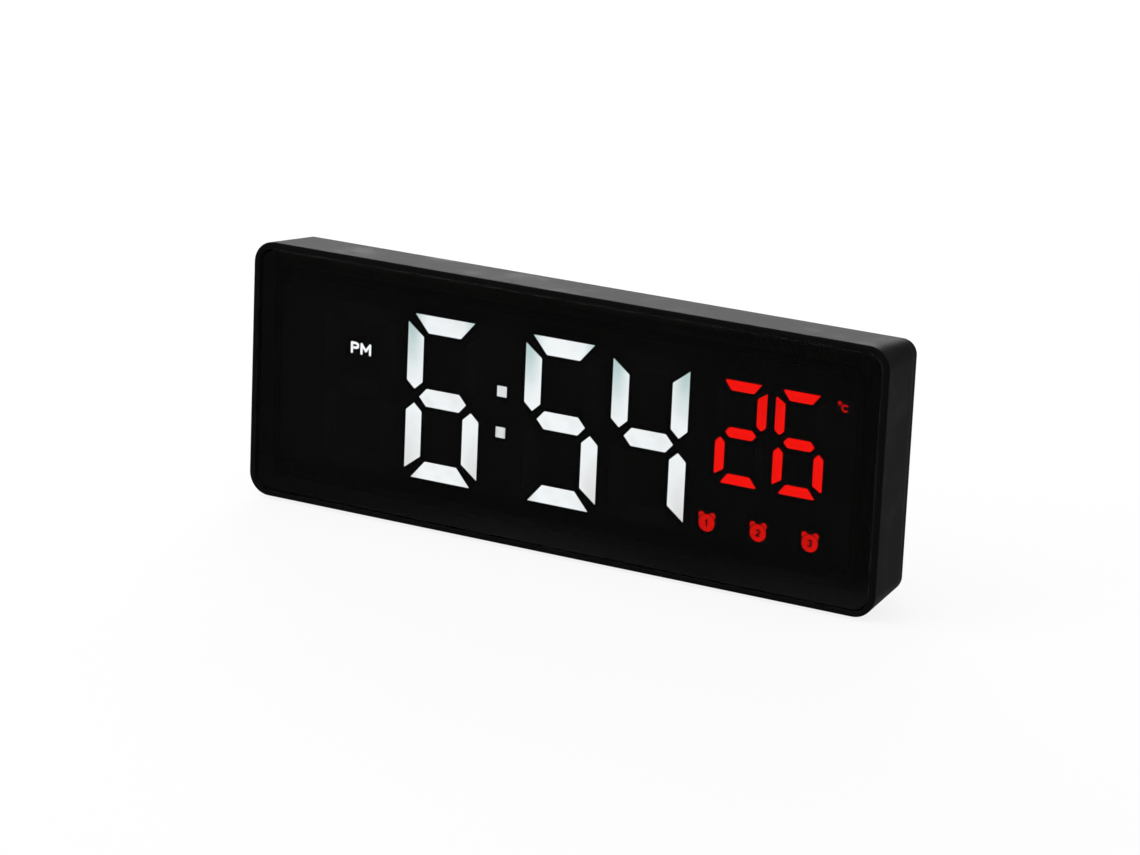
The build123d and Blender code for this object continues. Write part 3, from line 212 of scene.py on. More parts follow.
class Effect(Nodes):
    """A node group: its inputs and their defaults, and the kinds of its outputs."""

    def __init__(self, name, defaults, **outputs):
        super().__init__(bpy.data.node_groups.new(name, "ShaderNodeTree"))
        self.add_socket("Vector", "INPUT", "Vector")
        for title, value in defaults.items():
            kind = "Color" if isinstance(value, tuple) else "Float"
            self.add_socket(title, "INPUT", kind).default_value = (*value, 1.0) if kind == "Color" else value
        for title, kind in outputs.items():
            self.add_socket(title, "OUTPUT", kind)
        self.given = self.add("NodeGroupInput").outputs
        self.result = self.add("NodeGroupOutput").inputs
        self.place = self.given["Vector"]

    def add_socket(self, title, way, kind):
        """A socket of the group."""
        return self.tree.interface.new_socket(name=title, in_out=way, socket_type="NodeSocket" + kind)

    def give(self, **values):
        """Feeds the group's outputs."""
        self.feed_named(self.result, values)


class Finish(Nodes):
    """A material, with its Principled BSDF, that is read at Object coordinates."""

    def __init__(self, name, **constants):
        self.material = bpy.data.materials.new(name)
        self.material.use_nodes = True
        super().__init__(self.material.node_tree)
        self.surface = self.tree.nodes["Principled BSDF"]
        self.place = self.add("ShaderNodeTexCoord").outputs["Object"]
        self.show(**constants)

    def show(self, **values):
        """Feeds or sets the shader's sockets."""
        self.feed_named(self.surface.inputs, values)

    def paint(self, mask, colour):
        """Lays a colour over what already feeds the shader's Base Color, where a mask is one."""
        under = self.surface.inputs["Base Color"].links[0].from_socket
        self.show(Base_Color=self.blend(mask, under, colour))

    def lay_bare(self, mask, colour):
        """Shows metal of a colour where a mask is one."""
        self.paint(mask, colour)
        self.show(Metallic=mask)

    def bare_between(self, start, end, colour):
        """Shows metal of a colour between two depths."""
        depth = self.axes()["Y"]
        after = self.ramp(depth, start - METAL_BLUR, start)
        before = self.ramp(depth, end, end - METAL_BLUR)
        self.lay_bare(self.product(after, before), colour)

    def bump(self, height, depth, softness=0.0):
        """Feeds a height into the shader's Normal, over edges that look rounded by a radius."""
        inputs = {"Height": height, "Distance": depth}
        if softness > 0.0:
            inputs["Normal"] = self.add("ShaderNodeBevel", {"Radius": softness}, samples=6).outputs[0]
        self.show(Normal=self.add("ShaderNodeBump", inputs).outputs["Normal"])

    def dress(self, *names):
        """Gives the material to the slots of CAD nodes."""
        for name in names:
            for slot in NODES[name].material_slots:
                slot.material = self.material


# Effects that several finishes share


def make_moulded_grain():
    """Fine spark-eroded grain of a moulded surface: its height and a faint speckle."""
    grain = Effect("moulded_grain", {"Scale": 4000.0}, Height="Float", Speckle="Float")
    scale = grain.given["Scale"]
    fine = grain.noise(scale, roughness=0.6)
    pits = grain.specks(grain.calc("MULTIPLY", scale, 0.4))
    height = grain.calc("MULTIPLY_ADD", pits, 0.6, fine)
    grain.give(Height=height, Speckle=grain.ramp(fine, 0.35, 0.7))
    return grain


def make_handling_marks():
    """Wide soft smudges and thin wiped streaks, as a mask."""
    marks = Effect("handling_marks", {"Scale": 30.0}, Mask="Float")
    scale = marks.given["Scale"]
    wiped = marks.mapped(Rotation=(0.0, radians(24.0), 0.0), Scale=(1.0, 6.0, 9.0))
    soft = marks.ramp(marks.noise(scale, detail=3.0, roughness=0.55), 0.42, 0.68)
    thin = marks.ramp(marks.noise(scale, detail=4.0, roughness=0.7, vector=wiped), 0.5, 0.72)
    marks.give(Mask=marks.calc("MULTIPLY_ADD", soft, 0.6, marks.product(thin, soft, 0.4)))
    return marks


def make_settled_dust():
    """Dust that lies on what faces up, as a mask of fine specks."""
    dust = Effect("settled_dust", {"Scale": 2500.0}, Mask="Float")
    upward = dust.ramp(dust.facing()["Z"], 0.3, 0.95)
    points = dust.ramp(dust.specks(dust.given["Scale"]), 0.22, 0.08)
    patches = dust.ramp(dust.noise(60.0, detail=3.0), 0.45, 0.7)
    dust.give(Mask=dust.product(upward, points, patches))
    return dust


def make_edge_rub():
    """Where edges are rubbed by handling, as a mask."""
    rub = Effect("edge_rub", {"Radius": 0.3 * MM, "Break Up": 900.0}, Mask="Float")
    rounded = rub.add("ShaderNodeBevel", {"Radius": rub.given["Radius"]}, samples=4).outputs[0]
    likeness = rub.vector_calc("DOT_PRODUCT", rounded, rub.true_normal())["Value"]
    edge = rub.ramp(likeness, 0.98, 0.8)
    broken = rub.ramp(rub.noise(rub.given["Break Up"], detail=3.0), 0.4, 0.62)
    rub.give(Mask=rub.product(edge, broken))
    return rub


def make_segment_glow():
    """How a digit's light falls off: dimmer and greener at the tops of its posts, greyer at their feet."""
    sizes = {"Half Width": DIGIT_HALF_WIDTH, "Half Height": DIGIT_HALF_HEIGHT}
    colours = {"Full": grey(1.0), "Top": grey(0.7), "Foot": grey(0.8)}
    glow = Effect("segment_glow", {**sizes, **colours}, Color="Color")
    given = glow.given
    place = glow.axes()
    across = glow.calc("DIVIDE", glow.magnitude(place["X"]), given["Half Width"])
    up = glow.calc("DIVIDE", place["Z"], given["Half Height"])
    post = glow.ramp(across, 0.45, 0.9)
    top = glow.product(post, glow.ramp(up, 0.1, 0.95))
    foot = glow.product(post, glow.ramp(up, -0.05, -0.9))
    cloud = glow.ramp(glow.noise(260.0), 0.35, 0.75, 0.0, 0.35)
    full = glow.blend(cloud, given["Full"], given["Foot"])
    topped = glow.blend(top, full, given["Top"])
    glow.give(Color=glow.blend(foot, topped, given["Foot"]))
    return glow


EFFECTS = {
    "grain": make_moulded_grain(),
    "marks": make_handling_marks(),
    "dust": make_settled_dust(),
    "rub": make_edge_rub(),
    "glow": make_segment_glow(),
}


# Finishes that several pieces share


class Moulded(Finish):
    """A moulded plastic or rubber: speckled colour, roughness that handling changes, and fine grain."""

    def __init__(self, name, dark, light, rough, handled, scale=4000.0, depth=0.02 * MM, softness=0.0):
        super().__init__(name)
        grain = self.effect("grain", Scale=scale)
        self.bump(grain["Height"], depth, softness)
        marks = self.effect("marks", Scale=60.0)["Mask"]
        rub = self.effect("rub")["Mask"]
        worn = self.calc("MAXIMUM", self.product(grain["Speckle"], 0.35), rub)
        self.show(Base_Color=self.blend(worn, dark, light))
        self.show(Roughness=self.ramp(marks, 0.0, 1.0, rough, handled))


class Metal(Finish):
    """A metal with fine drawing lines along one direction and light tarnish."""

    def __init__(self, name, colour, tarnish, smooth, rough, stretch=(1.0, 1.0, 1.0)):
        super().__init__(name, Metallic=1.0)
        lines = self.noise(900.0, detail=3.0, roughness=0.6, vector=self.mapped(Scale=stretch))
        patches = self.ramp(self.noise(350.0, detail=4.0), 0.42, 0.72)
        self.show(Base_Color=self.blend(patches, colour, tarnish))
        self.show(Roughness=self.ramp(lines, 0.3, 0.7, smooth, rough))
        self.bump(lines, 0.004 * MM)

    def cover(self, mask, colour):
        """Hides the metal under a colour where a mask is one."""
        self.paint(mask, colour)
        self.show(Metallic=self.inverse(mask))


class Light(Finish):
    """A diffuser lit from behind, whose light falls off round a middle."""

    def __init__(self, name, power, middle, full, top, foot, half=(DIGIT_HALF_WIDTH, DIGIT_HALF_HEIGHT)):
        super().__init__(name, Roughness=0.5, Emission_Strength=power)
        place = {"Vector": self.centred(middle), "Half_Width": half[0], "Half_Height": half[1]}
        glow = self.effect("glow", Full=full, Top=top, Foot=foot, **place)["Color"]
        self.show(Emission_Color=glow, Base_Color=self.blend(1.0, glow, grey(0.1), "MULTIPLY"))


class Mark(Finish):
    """A mark: the flat front of its raised form is lit, and its walls and its ground are dark."""

    def __init__(self, name, power, node, lit, unlit):
        super().__init__(name, Roughness=0.5, Emission_Strength=power)
        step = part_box(node)[0].y + MARK_STEP
        raised = self.ramp(self.axes()["Y"], step + MARK_STEP_BLUR, step - MARK_STEP_BLUR)
        raised = self.product(raised, self.ramp(self.facing()["Y"], -0.8, -0.9))
        uneven = self.ramp(self.noise(900.0), 0.3, 0.75, 1.0, 0.82)
        shown = self.blend(self.product(raised, uneven), grey(0.0), lit)
        self.show(Emission_Color=shown, Base_Color=self.blend(uneven, grey(0.0), unlit))


# What a user of the scene would change

COLOUR = {"subtype": "COLOR", "size": 3, "min": 0.0, "max": 1.0}
POINT = {"subtype": "TRANSLATION", "unit": "LENGTH", "size": 3}
LENGTH = {"subtype": "DISTANCE", "unit": "LENGTH"}
ANGLE = {"subtype": "ANGLE", "unit": "ROTATION"}
LENS = {"unit": "CAMERA"}
INDEX = {"min": 1.0, "max": 2.0}
SHARE = {"subtype": "FACTOR", "min": 0.0, "max": 1.0}
STRENGTH = {"min": 0.0}
VIEW_AIM = (4.06 * MM, -10.29 * MM, 37.65 * MM)


def setting(name, description, default, kind):
    """A setting of one of the kinds above."""
    make = FloatVectorProperty if "size" in kind else FloatProperty
    return make(name=name, description=description, default=default, **kind)


class ClockShellSettings(bpy.types.PropertyGroup):
    """The moulded shell and the front panel."""

    shell_colour: setting("Shell", "Colour of the moulded shell", (0.0035, 0.0035, 0.0038), COLOUR)
    shell_worn: setting("Shell speckle", "Colour of its lighter flecks", (0.007, 0.007, 0.0073), COLOUR)
    shell_edge: setting("Shell edges", "Colour of its rubbed edges", (0.03, 0.03, 0.031), COLOUR)
    back_colour: setting("Back", "Colour of the back's coarse texture", (0.015, 0.015, 0.0155), COLOUR)
    back_fleck: setting("Back fleck", "Colour of its raised flecks", (0.034, 0.034, 0.035), COLOUR)
    shell_gloss: setting("Shell reflection", "Reflection of the shell's plastic", 0.0075, SHARE)
    shell_rough: setting("Shell roughness", "Roughness of the untouched shell", 0.5, SHARE)
    shell_handled: setting("Handled roughness", "Roughness where the shell was handled", 0.4, SHARE)
    edge_softness: setting("Edge softness", "Radius that the shell's edges seem to have", 1.1 * MM, LENGTH)
    bevel_gloss: setting("Bevel gloss", "Reflection of the panel's polished bevel", 0.6, SHARE)
    panel_haze: setting("Panel haze", "Reflection of hazy places on the panel", 0.1, SHARE)
    panel_tint: setting("Panel tint", "Share of light that passes through", (0.14, 0.14, 0.14), COLOUR)
    panel_index: setting("Panel index", "Refractive index of the smoked panel", 1.11, INDEX)


class ClockLightSettings(bpy.types.PropertyGroup):
    """The lit digits and marks."""

    white_full: setting("White", "Light of the white segments", (0.85, 0.885, 0.9), COLOUR)
    white_top: setting("White tops", "Light at the tops of the white posts", (0.42, 0.56, 0.555), COLOUR)
    white_foot: setting("White feet", "Light at the feet of the white posts", (0.69, 0.7, 0.7), COLOUR)
    red_full: setting("Red", "Light of the red segments", (0.82, 0.004, 0.0015), COLOUR)
    red_weak: setting("Weak red", "Light at the ends of the red segments", (0.72, 0.003, 0.001), COLOUR)
    light_strength: setting("Light strength", "Strength of the digits through the panel", 1.04, STRENGTH)
    colon_share: setting("Colon share", "Strength of the colon beside the digits", 0.8, SHARE)
    pm_share: setting("PM share", "Strength of the PM mark beside the digits", 1.2, STRENGTH)
    alarm_share: setting("Alarm share", "Strength of the alarm marks beside the digits", 0.75, SHARE)
    celsius_share: setting("Celsius share", "Strength of the degree mark beside the digits", 0.65, SHARE)
    unlit_colour: setting("Unlit", "Colour of unlit segments and the block", (0.002, 0.002, 0.0022), COLOUR)


class ClockStageSettings(bpy.types.PropertyGroup):
    """The camera, the lamps and the floor."""

    view_azimuth: setting("View azimuth", "How far the camera stands to the right", radians(28.86), ANGLE)
    view_elevation: setting("View elevation", "Height of the camera above the table", radians(15.36), ANGLE)
    view_roll: setting("View roll", "How far the camera leans about its own axis", radians(2.52), ANGLE)
    view_distance: setting("View distance", "From the camera to the point that it looks at", 1.13625, LENGTH)
    view_aim: setting("View aim", "The point that the camera looks at", VIEW_AIM, POINT)
    view_lens: setting("View lens", "Focal length in millimetres", 130.12, LENS)
    floor_colour: setting("Floor", "Colour of the floor", (0.88, 0.88, 0.88), COLOUR)
    floor_width: setting("Floor width", "Side of the square floor", 6.0, LENGTH)
    floor_clear: setting("Floor clearness", "How much of the seen floor is plain white", 0.85, SHARE)
    world_strength: setting("World strength", "Strength of the even light from all round", 0.55, STRENGTH)
    sheen_strength: setting("Sheen strength", "Radiance of the softbox in the top's gloss", 6.9, STRENGTH)
    key_strength: setting("Key strength", "Power of the large softbox overhead, in watts", 9.0, STRENGTH)
    fill_strength: setting("Fill strength", "Power of the softbox by the camera, in watts", 4.0, STRENGTH)


# The shell and the front panel

PRINTED_SIDE_BORDER = 8.1 * MM
PRINTED_EDGE_BORDER = 11.1 * MM
PRINT_BLUR = 0.05 * MM


class ClockOperator(bpy.types.Operator):
    """Common ground of this file's operators."""

    bl_options = {"REGISTER", "UNDO"}


class FinishShell(ClockOperator):
    """Gives the moulded shell, cover and battery door their grained black plastic"""

    bl_idname = "clock.finish_shell"
    bl_label = "Finish Shell"

    def execute(self, context):
        want = context.scene.clock_shell
        self.shell_finish("shell_black_plastic", want).dress("front_housing")
        cover = self.shell_finish("cover_black_plastic", want)
        self.texture_back(cover, want)
        cover.dress("rear_cover", "battery_door")
        return {"FINISHED"}

    def shell_finish(self, name, want):
        """Fine satin plastic with rubbed edges and a little dust."""
        colours = (want.shell_colour, want.shell_worn)
        rough = (want.shell_rough, want.shell_handled)
        shell = Moulded(name, *colours, *rough, scale=5000.0, depth=0.012 * MM, softness=want.edge_softness)
        shell.show(Specular_IOR_Level=want.shell_gloss)
        rub = shell.effect("rub", Radius=0.35 * MM, Break_Up=300.0)["Mask"]
        shell.paint(shell.product(rub, 0.8), want.shell_edge)
        dust = shell.effect("dust")["Mask"]
        shell.paint(shell.product(dust, 0.1), grey(0.35))
        return shell

    def texture_back(self, cover, want):
        """Coarser, paler spark-eroded texture on the flat back, kept off the flanks."""
        back = cover.ramp(cover.facing()["Y"], 0.85, 0.97)
        grain = cover.effect("grain", Scale=3600.0)
        stipple = cover.blend(grain["Speckle"], want.back_colour, want.back_fleck)
        cover.paint(back, stipple)
        cover.bump(cover.product(grain["Height"], back), 0.05 * MM)


class FinishPanel(ClockOperator):
    """Gives the front panel its smoked acrylic, printed black round the digits, and the tape its foam"""

    bl_idname = "clock.finish_panel"
    bl_label = "Finish Front Panel"

    def execute(self, context):
        want = context.scene.clock_shell
        panel = Finish("smoked_acrylic", IOR=want.panel_index, Transmission_Weight=1.0, Coat_Roughness=0.03)
        marks = panel.effect("marks", Scale=26.0)["Mask"]
        tint = panel.blend(marks, want.panel_tint, scaled(want.panel_tint, 0.94))
        spot = panel.from_middle(box_middle("front_panel"))
        faces = panel.facing()
        half = box_size("front_panel") / 2
        window = panel.patch(
            spot["X"], spot["Z"], half.x - PRINTED_SIDE_BORDER, half.z - PRINTED_EDGE_BORDER, PRINT_BLUR
        )
        printed = panel.product(panel.inverse(window), panel.ramp(faces["Y"], 0.5, 0.9))
        cloud = panel.ramp(panel.noise(9.0, detail=1.0), 0.3, 0.6)
        haze = panel.product(cloud, panel.ramp(spot["Z"], PRINTED_EDGE_BORDER - half.z, -half.z))
        bevel = panel.ramp(faces["Y"], -0.97, -0.85, 0.0, want.bevel_gloss)
        panel.show(
            Base_Color=panel.blend(printed, tint, grey(0.0005)),
            Roughness=panel.ramp(marks, 0.0, 1.0, 0.02, 0.045),
            Coat_Weight=panel.calc("MULTIPLY_ADD", haze, want.panel_haze, bevel, clamp=True),
        )
        panel.dress("front_panel")
        tape = Moulded(
            "tape_black_foam", grey(0.02), grey(0.05), rough=0.9, handled=0.8, scale=2500.0, depth=0.05 * MM
        )
        tape.dress("panel_tape")
        return {"FINISHED"}


# The display

COLON_HALF = (1.5 * MM, 7.4 * MM)
MARK_STEP = 0.15 * MM
MARK_STEP_BLUR = 0.01 * MM
SHAFTS_HALF_WIDTH = 84.0 * MM
SHAFTS_HALF_HEIGHT = 24.4 * MM
SHAFTS_START = 0.8 * MM
BLOCK_WHITE = (0.6, 0.6, 0.58)
BLOCK_FLECK = (0.7, 0.7, 0.68)


class FinishDisplay(ClockOperator):
    """Lights the digits and marks, and darkens the light block and the unlit segments"""

    bl_idname = "clock.finish_display"
    bl_label = "Finish Display"

    def execute(self, context):
        want = context.scene.clock_light
        power = want.light_strength / context.scene.clock_shell.panel_tint[1]
        self.light_digits(want, power)
        self.light_marks(want, power)
        dark = want.unlit_colour
        unlit = Moulded("diffuser_unlit", dark, dark, rough=0.6, handled=0.5, scale=2000.0, depth=0.01 * MM)
        unlit.dress(*DARK_SEGMENTS)
        self.finish_block(want)
        return {"FINISHED"}

    def light_digits(self, want, power):
        """White digits and colon, and red digits whose posts fade at both ends."""
        white = want.white_full
        for node, x in WHITE_DIGITS.items():
            middle = (x, 0.0, FACE_MIDDLE_HEIGHT)
            Light("white_light_" + node, power, middle, white, want.white_top, want.white_foot).dress(node)
        middle = box_middle("colon_dots")
        dimmed = power * want.colon_share
        dots = Light("white_light_colon", dimmed, middle, white, white, want.white_foot, COLON_HALF)
        dots.dress("colon_dots")
        for node in RED_DIGITS:
            half = box_size(node).xz / 2
            middle = box_middle(node)
            red = Light("red_light_" + node, power, middle, want.red_full, want.red_weak, want.red_full, half)
            red.dress(node)

    def light_marks(self, want, power):
        """The PM mark, the alarm marks and the degree Celsius mark, each with its own strength."""
        marks = {"pm_mark": ("white_mark_pm", want.white_full, want.pm_share)}
        marks["celsius_mark"] = ("red_mark_celsius", want.red_full, want.celsius_share)
        for node in ALARM_MARKS:
            marks[node] = ("red_mark_" + node, want.red_full, want.alarm_share)
        for node, (name, lit, share) in marks.items():
            Mark(name, power * share, node, lit, want.unlit_colour).dress(node)

    def finish_block(self, want):
        """A light block that is white inside its shafts, and black on its front and round its edges."""
        block = Moulded(
            "light_block_white_and_black", BLOCK_WHITE, BLOCK_FLECK, rough=0.5, handled=0.4, scale=1500.0
        )
        block.show(Specular_IOR_Level=0.1)
        spot = block.from_middle((0.0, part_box("light_block")[0].y, FACE_MIDDLE_HEIGHT))
        deep = block.ramp(spot["Y"], SHAFTS_START, SHAFTS_START + PRINT_BLUR)
        across = block.within(spot["X"], SHAFTS_HALF_WIDTH, PRINT_BLUR)
        up = block.within(spot["Z"], SHAFTS_HALF_HEIGHT, PRINT_BLUR)
        block.paint(block.inverse(block.product(deep, across, up)), want.unlit_colour)
        block.dress("light_block")


# The boards and what is soldered to them

MASK_GREEN = (0.008, 0.055, 0.022)
TRACK_GREEN = (0.02, 0.12, 0.04)
FIBRE_DARK = (0.35, 0.32, 0.16)
FIBRE_PALE = (0.5, 0.46, 0.26)
RESISTOR_CREAM = (0.55, 0.53, 0.48)
BEAD_DARK = (0.02, 0.012, 0.01)
BEAD_PALE = (0.05, 0.03, 0.02)
PIN_GOLD = (0.75, 0.55, 0.22)
CONNECTOR = {"dark": grey(0.012), "light": grey(0.03), "rough": 0.45, "handled": 0.35, "scale": 3000.0}
CRYSTAL_CAN = ((0.72, 0.72, 0.7), (0.6, 0.59, 0.56))
CAPACITOR_CAN = ((0.8, 0.8, 0.79), (0.7, 0.7, 0.69))
INLET_SHELL = ((0.78, 0.77, 0.75), (0.62, 0.61, 0.58))
# The bodies and the lenses of the light chips
LIGHT_CHIPS = {
    "white_chips": ((0.75, 0.75, 0.72), (0.85, 0.62, 0.08)),
    "red_chips": ((0.7, 0.66, 0.62), (0.6, 0.35, 0.3)),
}

TRACK_PITCH = 1.27 * MM
TRACK_EDGE = (0.26 * MM, 0.2 * MM)
TRACK_HEIGHT = 0.03 * MM
CHIP_HALF_WIDTH = 1.95 * MM
FIRST_PIN_PLACE = Vector((3.9, 0.0, 1.0)) * MM
FIRST_PIN_EDGE = (0.42 * MM, 0.36 * MM)
RESISTOR_HALF_LENGTH = 1.0 * MM
RESISTOR_HALF_PITCH = 1.5 * MM
RESISTOR_END = 0.68 * MM
BEAD_EDGE = (2.15 * MM, 2.3 * MM)
SWITCH_METAL = 0.3 * MM
POLARITY_EDGE = (1.2 * MM, 1.25 * MM)
TONGUE_HALF = (2.4 * MM, 0.4 * MM)
METAL_BLUR = 0.02 * MM
BEYOND_ALL = 1.0


class FinishElectronics(ClockOperator):
    """Finishes the boards and what is soldered to them"""

    bl_idname = "clock.finish_electronics"
    bl_label = "Finish Electronics"

    def execute(self, context):
        self.finish_boards()
        for node in ("driver_chip", "controller_chip"):
            self.finish_chip(node)
        for node, (body, lens) in LIGHT_CHIPS.items():
            self.finish_light_chips(node, body, lens)
        self.finish_resistors()
        self.finish_thermistor()
        self.finish_mouldings()
        self.finish_cans()
        return {"FINISHED"}

    def finish_boards(self):
        """Green solder mask over copper tracks, with bare glass fibre at the cut edges."""
        board = Finish("board_green_mask", Coat_Weight=0.3, Coat_Roughness=0.2)
        spot = board.axes()
        column = board.calc("PINGPONG", spot["X"], TRACK_PITCH / 2)
        row = board.calc("PINGPONG", spot["Z"], TRACK_PITCH / 2)
        region = board.ramp(board.noise(90.0, detail=0.0), 0.49, 0.51)
        track = board.ramp(board.blend(region, column, row), *TRACK_EDGE)
        routed = board.ramp(board.noise(160.0, detail=1.0), 0.47, 0.5)
        copper = board.product(track, routed)
        mask = board.blend(copper, MASK_GREEN, TRACK_GREEN)
        fibre = board.flecked(3000.0, FIBRE_DARK, FIBRE_PALE)
        flat = board.ramp(board.magnitude(board.facing()["Y"]), 0.4, 0.6)
        board.show(Base_Color=board.blend(flat, fibre, mask))
        board.show(Roughness=board.ramp(flat, 0.0, 1.0, 0.85, 0.35))
        board.bump(board.product(copper, flat), TRACK_HEIGHT)
        board.dress("display_board", "control_board")

    def finish_chip(self, node):
        """Black epoxy with a first-pin dot and tinned legs."""
        chip = Finish("chip_" + node)
        middle = box_middle(node)
        across = chip.magnitude(chip.from_middle(middle)["Z"])
        legs = chip.ramp(across, CHIP_HALF_WIDTH - METAL_BLUR, CHIP_HALF_WIDTH + METAL_BLUR)
        in_plane = chip.vector_calc("MULTIPLY", chip.centred(middle + FIRST_PIN_PLACE), (1, 0, 1))[0]
        dot = chip.ramp(chip.vector_calc("LENGTH", in_plane)["Value"], *FIRST_PIN_EDGE)
        body = chip.flecked(4000.0, grey(0.012), grey(0.03))
        body = chip.blend(chip.product(dot, 0.6), body, grey(0.2))
        chip.show(Base_Color=body, Roughness=chip.ramp(legs, 0.0, 1.0, 0.6, 0.25))
        chip.lay_bare(legs, grey(0.75))
        chip.bump(chip.noise(6000.0), 0.01 * MM)
        chip.dress(node)

    def finish_light_chips(self, node, body, lens):
        """Pale chips with a lens in their front."""
        chip = Finish("light_chip_" + node, Roughness=0.4)
        front = chip.ramp(chip.facing()["Y"], -0.6, -0.9)
        chip.show(Base_Color=chip.blend(front, chip.flecked(2500.0, body, grey(0.8)), lens))
        chip.dress(node)

    def finish_resistors(self):
        """Ceramic bodies, black on top, in a row along Z, with tinned ends."""
        chip = Finish("resistor_ceramic")
        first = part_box("resistors")[0].z + RESISTOR_HALF_LENGTH
        along = chip.calc("SUBTRACT", chip.axes()["Z"], first)
        along = chip.calc("WRAP", along, -RESISTOR_HALF_PITCH, RESISTOR_HALF_PITCH)
        along = chip.magnitude(along)
        ends = chip.ramp(along, RESISTOR_END - METAL_BLUR, RESISTOR_END + METAL_BLUR)
        top = chip.ramp(chip.facing()["Y"], 0.5, 0.8)
        body = chip.blend(top, RESISTOR_CREAM, grey(0.02))
        chip.show(Base_Color=body, Roughness=chip.uneven(3000.0, 0.3, 0.45))
        chip.lay_bare(ends, grey(0.72))
        chip.dress("resistors")

    def finish_thermistor(self):
        """A dark bead on two tinned wires."""
        sensor = Finish("sensor_bead_and_wires")
        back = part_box("thermistor")[1].y
        wires = sensor.ramp(sensor.axes()["Y"], *(back - edge for edge in BEAD_EDGE))
        bead = sensor.flecked(2500.0, BEAD_DARK, BEAD_PALE)
        sensor.show(Base_Color=bead, Roughness=sensor.uneven(900.0, 0.18, 0.32))
        sensor.lay_bare(wires, grey(0.72))
        sensor.dress("thermistor")

    def finish_mouldings(self):
        """The buzzer, and the header, the socket and the switches with their metal."""
        buzzer = Moulded(
            "buzzer_black_plastic", grey(0.015), grey(0.03), rough=0.5, handled=0.4, scale=3000.0
        )
        buzzer.dress("buzzer")
        Moulded("pin_socket", **CONNECTOR).dress("link_socket")
        header = Moulded("pin_header", **CONNECTOR)
        header.bare_between(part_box("link_header")[0].y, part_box("link_socket")[1].y, PIN_GOLD)
        header.dress("link_header")
        switch = Moulded("switch_base", **CONNECTOR)
        switch.bare_between(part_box("key_switches")[1].y - SWITCH_METAL, BEYOND_ALL, grey(0.7))
        switch.dress("key_switches")

    def finish_cans(self):
        """Drawn cans with the capacitor's polarity mark, and the inlet's tinned shell round its tongue."""
        crystal = Metal("crystal_can", *CRYSTAL_CAN, smooth=0.18, rough=0.32, stretch=(0.1, 1.0, 1.0))
        crystal.dress("clock_crystal")
        can = Metal("capacitor_can", *CAPACITOR_CAN, smooth=0.2, rough=0.35)
        side = can.ramp(can.from_middle(box_middle("capacitor"))["Z"], *POLARITY_EDGE)
        can.cover(can.product(side, can.ramp(can.facing()["Y"], -0.7, -0.9)), grey(0.02))
        can.dress("capacitor")
        inlet = Metal("inlet_tinned_shell", *INLET_SHELL, smooth=0.22, rough=0.36)
        spot = inlet.from_middle(box_middle("power_inlet"))
        inlet.cover(inlet.patch(spot["X"], spot["Z"], *TONGUE_HALF, METAL_BLUR), grey(0.015))
        inlet.dress("power_inlet")


# The cells and their leads. A cell's print is counted from its ends

POSITIVE_ENDS = {"cell_1": 1, "cell_2": -1, "cell_3": 1}
LEADS = {"positive_lead": (0.42, 0.012, 0.01), "negative_lead": (0.015, 0.015, 0.016)}
NICKEL = ((0.74, 0.71, 0.65), (0.6, 0.57, 0.51))
SLATE_DARK = (0.035, 0.06, 0.09)
SLATE_PALE = (0.05, 0.08, 0.115)
BAND_GREY = (0.5, 0.53, 0.54)

SLEEVE_SIDE_EDGE = (0.5 * MM, 0.4 * MM)
SLEEVE_END_EDGE = (0.5 * MM, 0.6 * MM)
SLEEVE_SHIFT = 0.45 * MM
BAND_EDGE = (13.0 * MM, 12.8 * MM)
BAND_LINE_PLACE = 14.2 * MM
BAND_LINE_HALF = 0.3 * MM
PLUS_PLACE = 6.5 * MM
MINUS_PLACE = 6.0 * MM
STROKE_HALF_LENGTH = 1.5 * MM
STROKE_HALF_WIDTH = 0.35 * MM
STROKE_BLUR = 0.04 * MM
OUTER_BLUR = 0.2 * MM
# Where a lead's stripped ends start: from the board's side, and from its contact's side
LANDED_EDGE = (1.25 * MM, 1.2 * MM)
SOLDERED_EDGE = (0.85 * MM, 0.8 * MM)


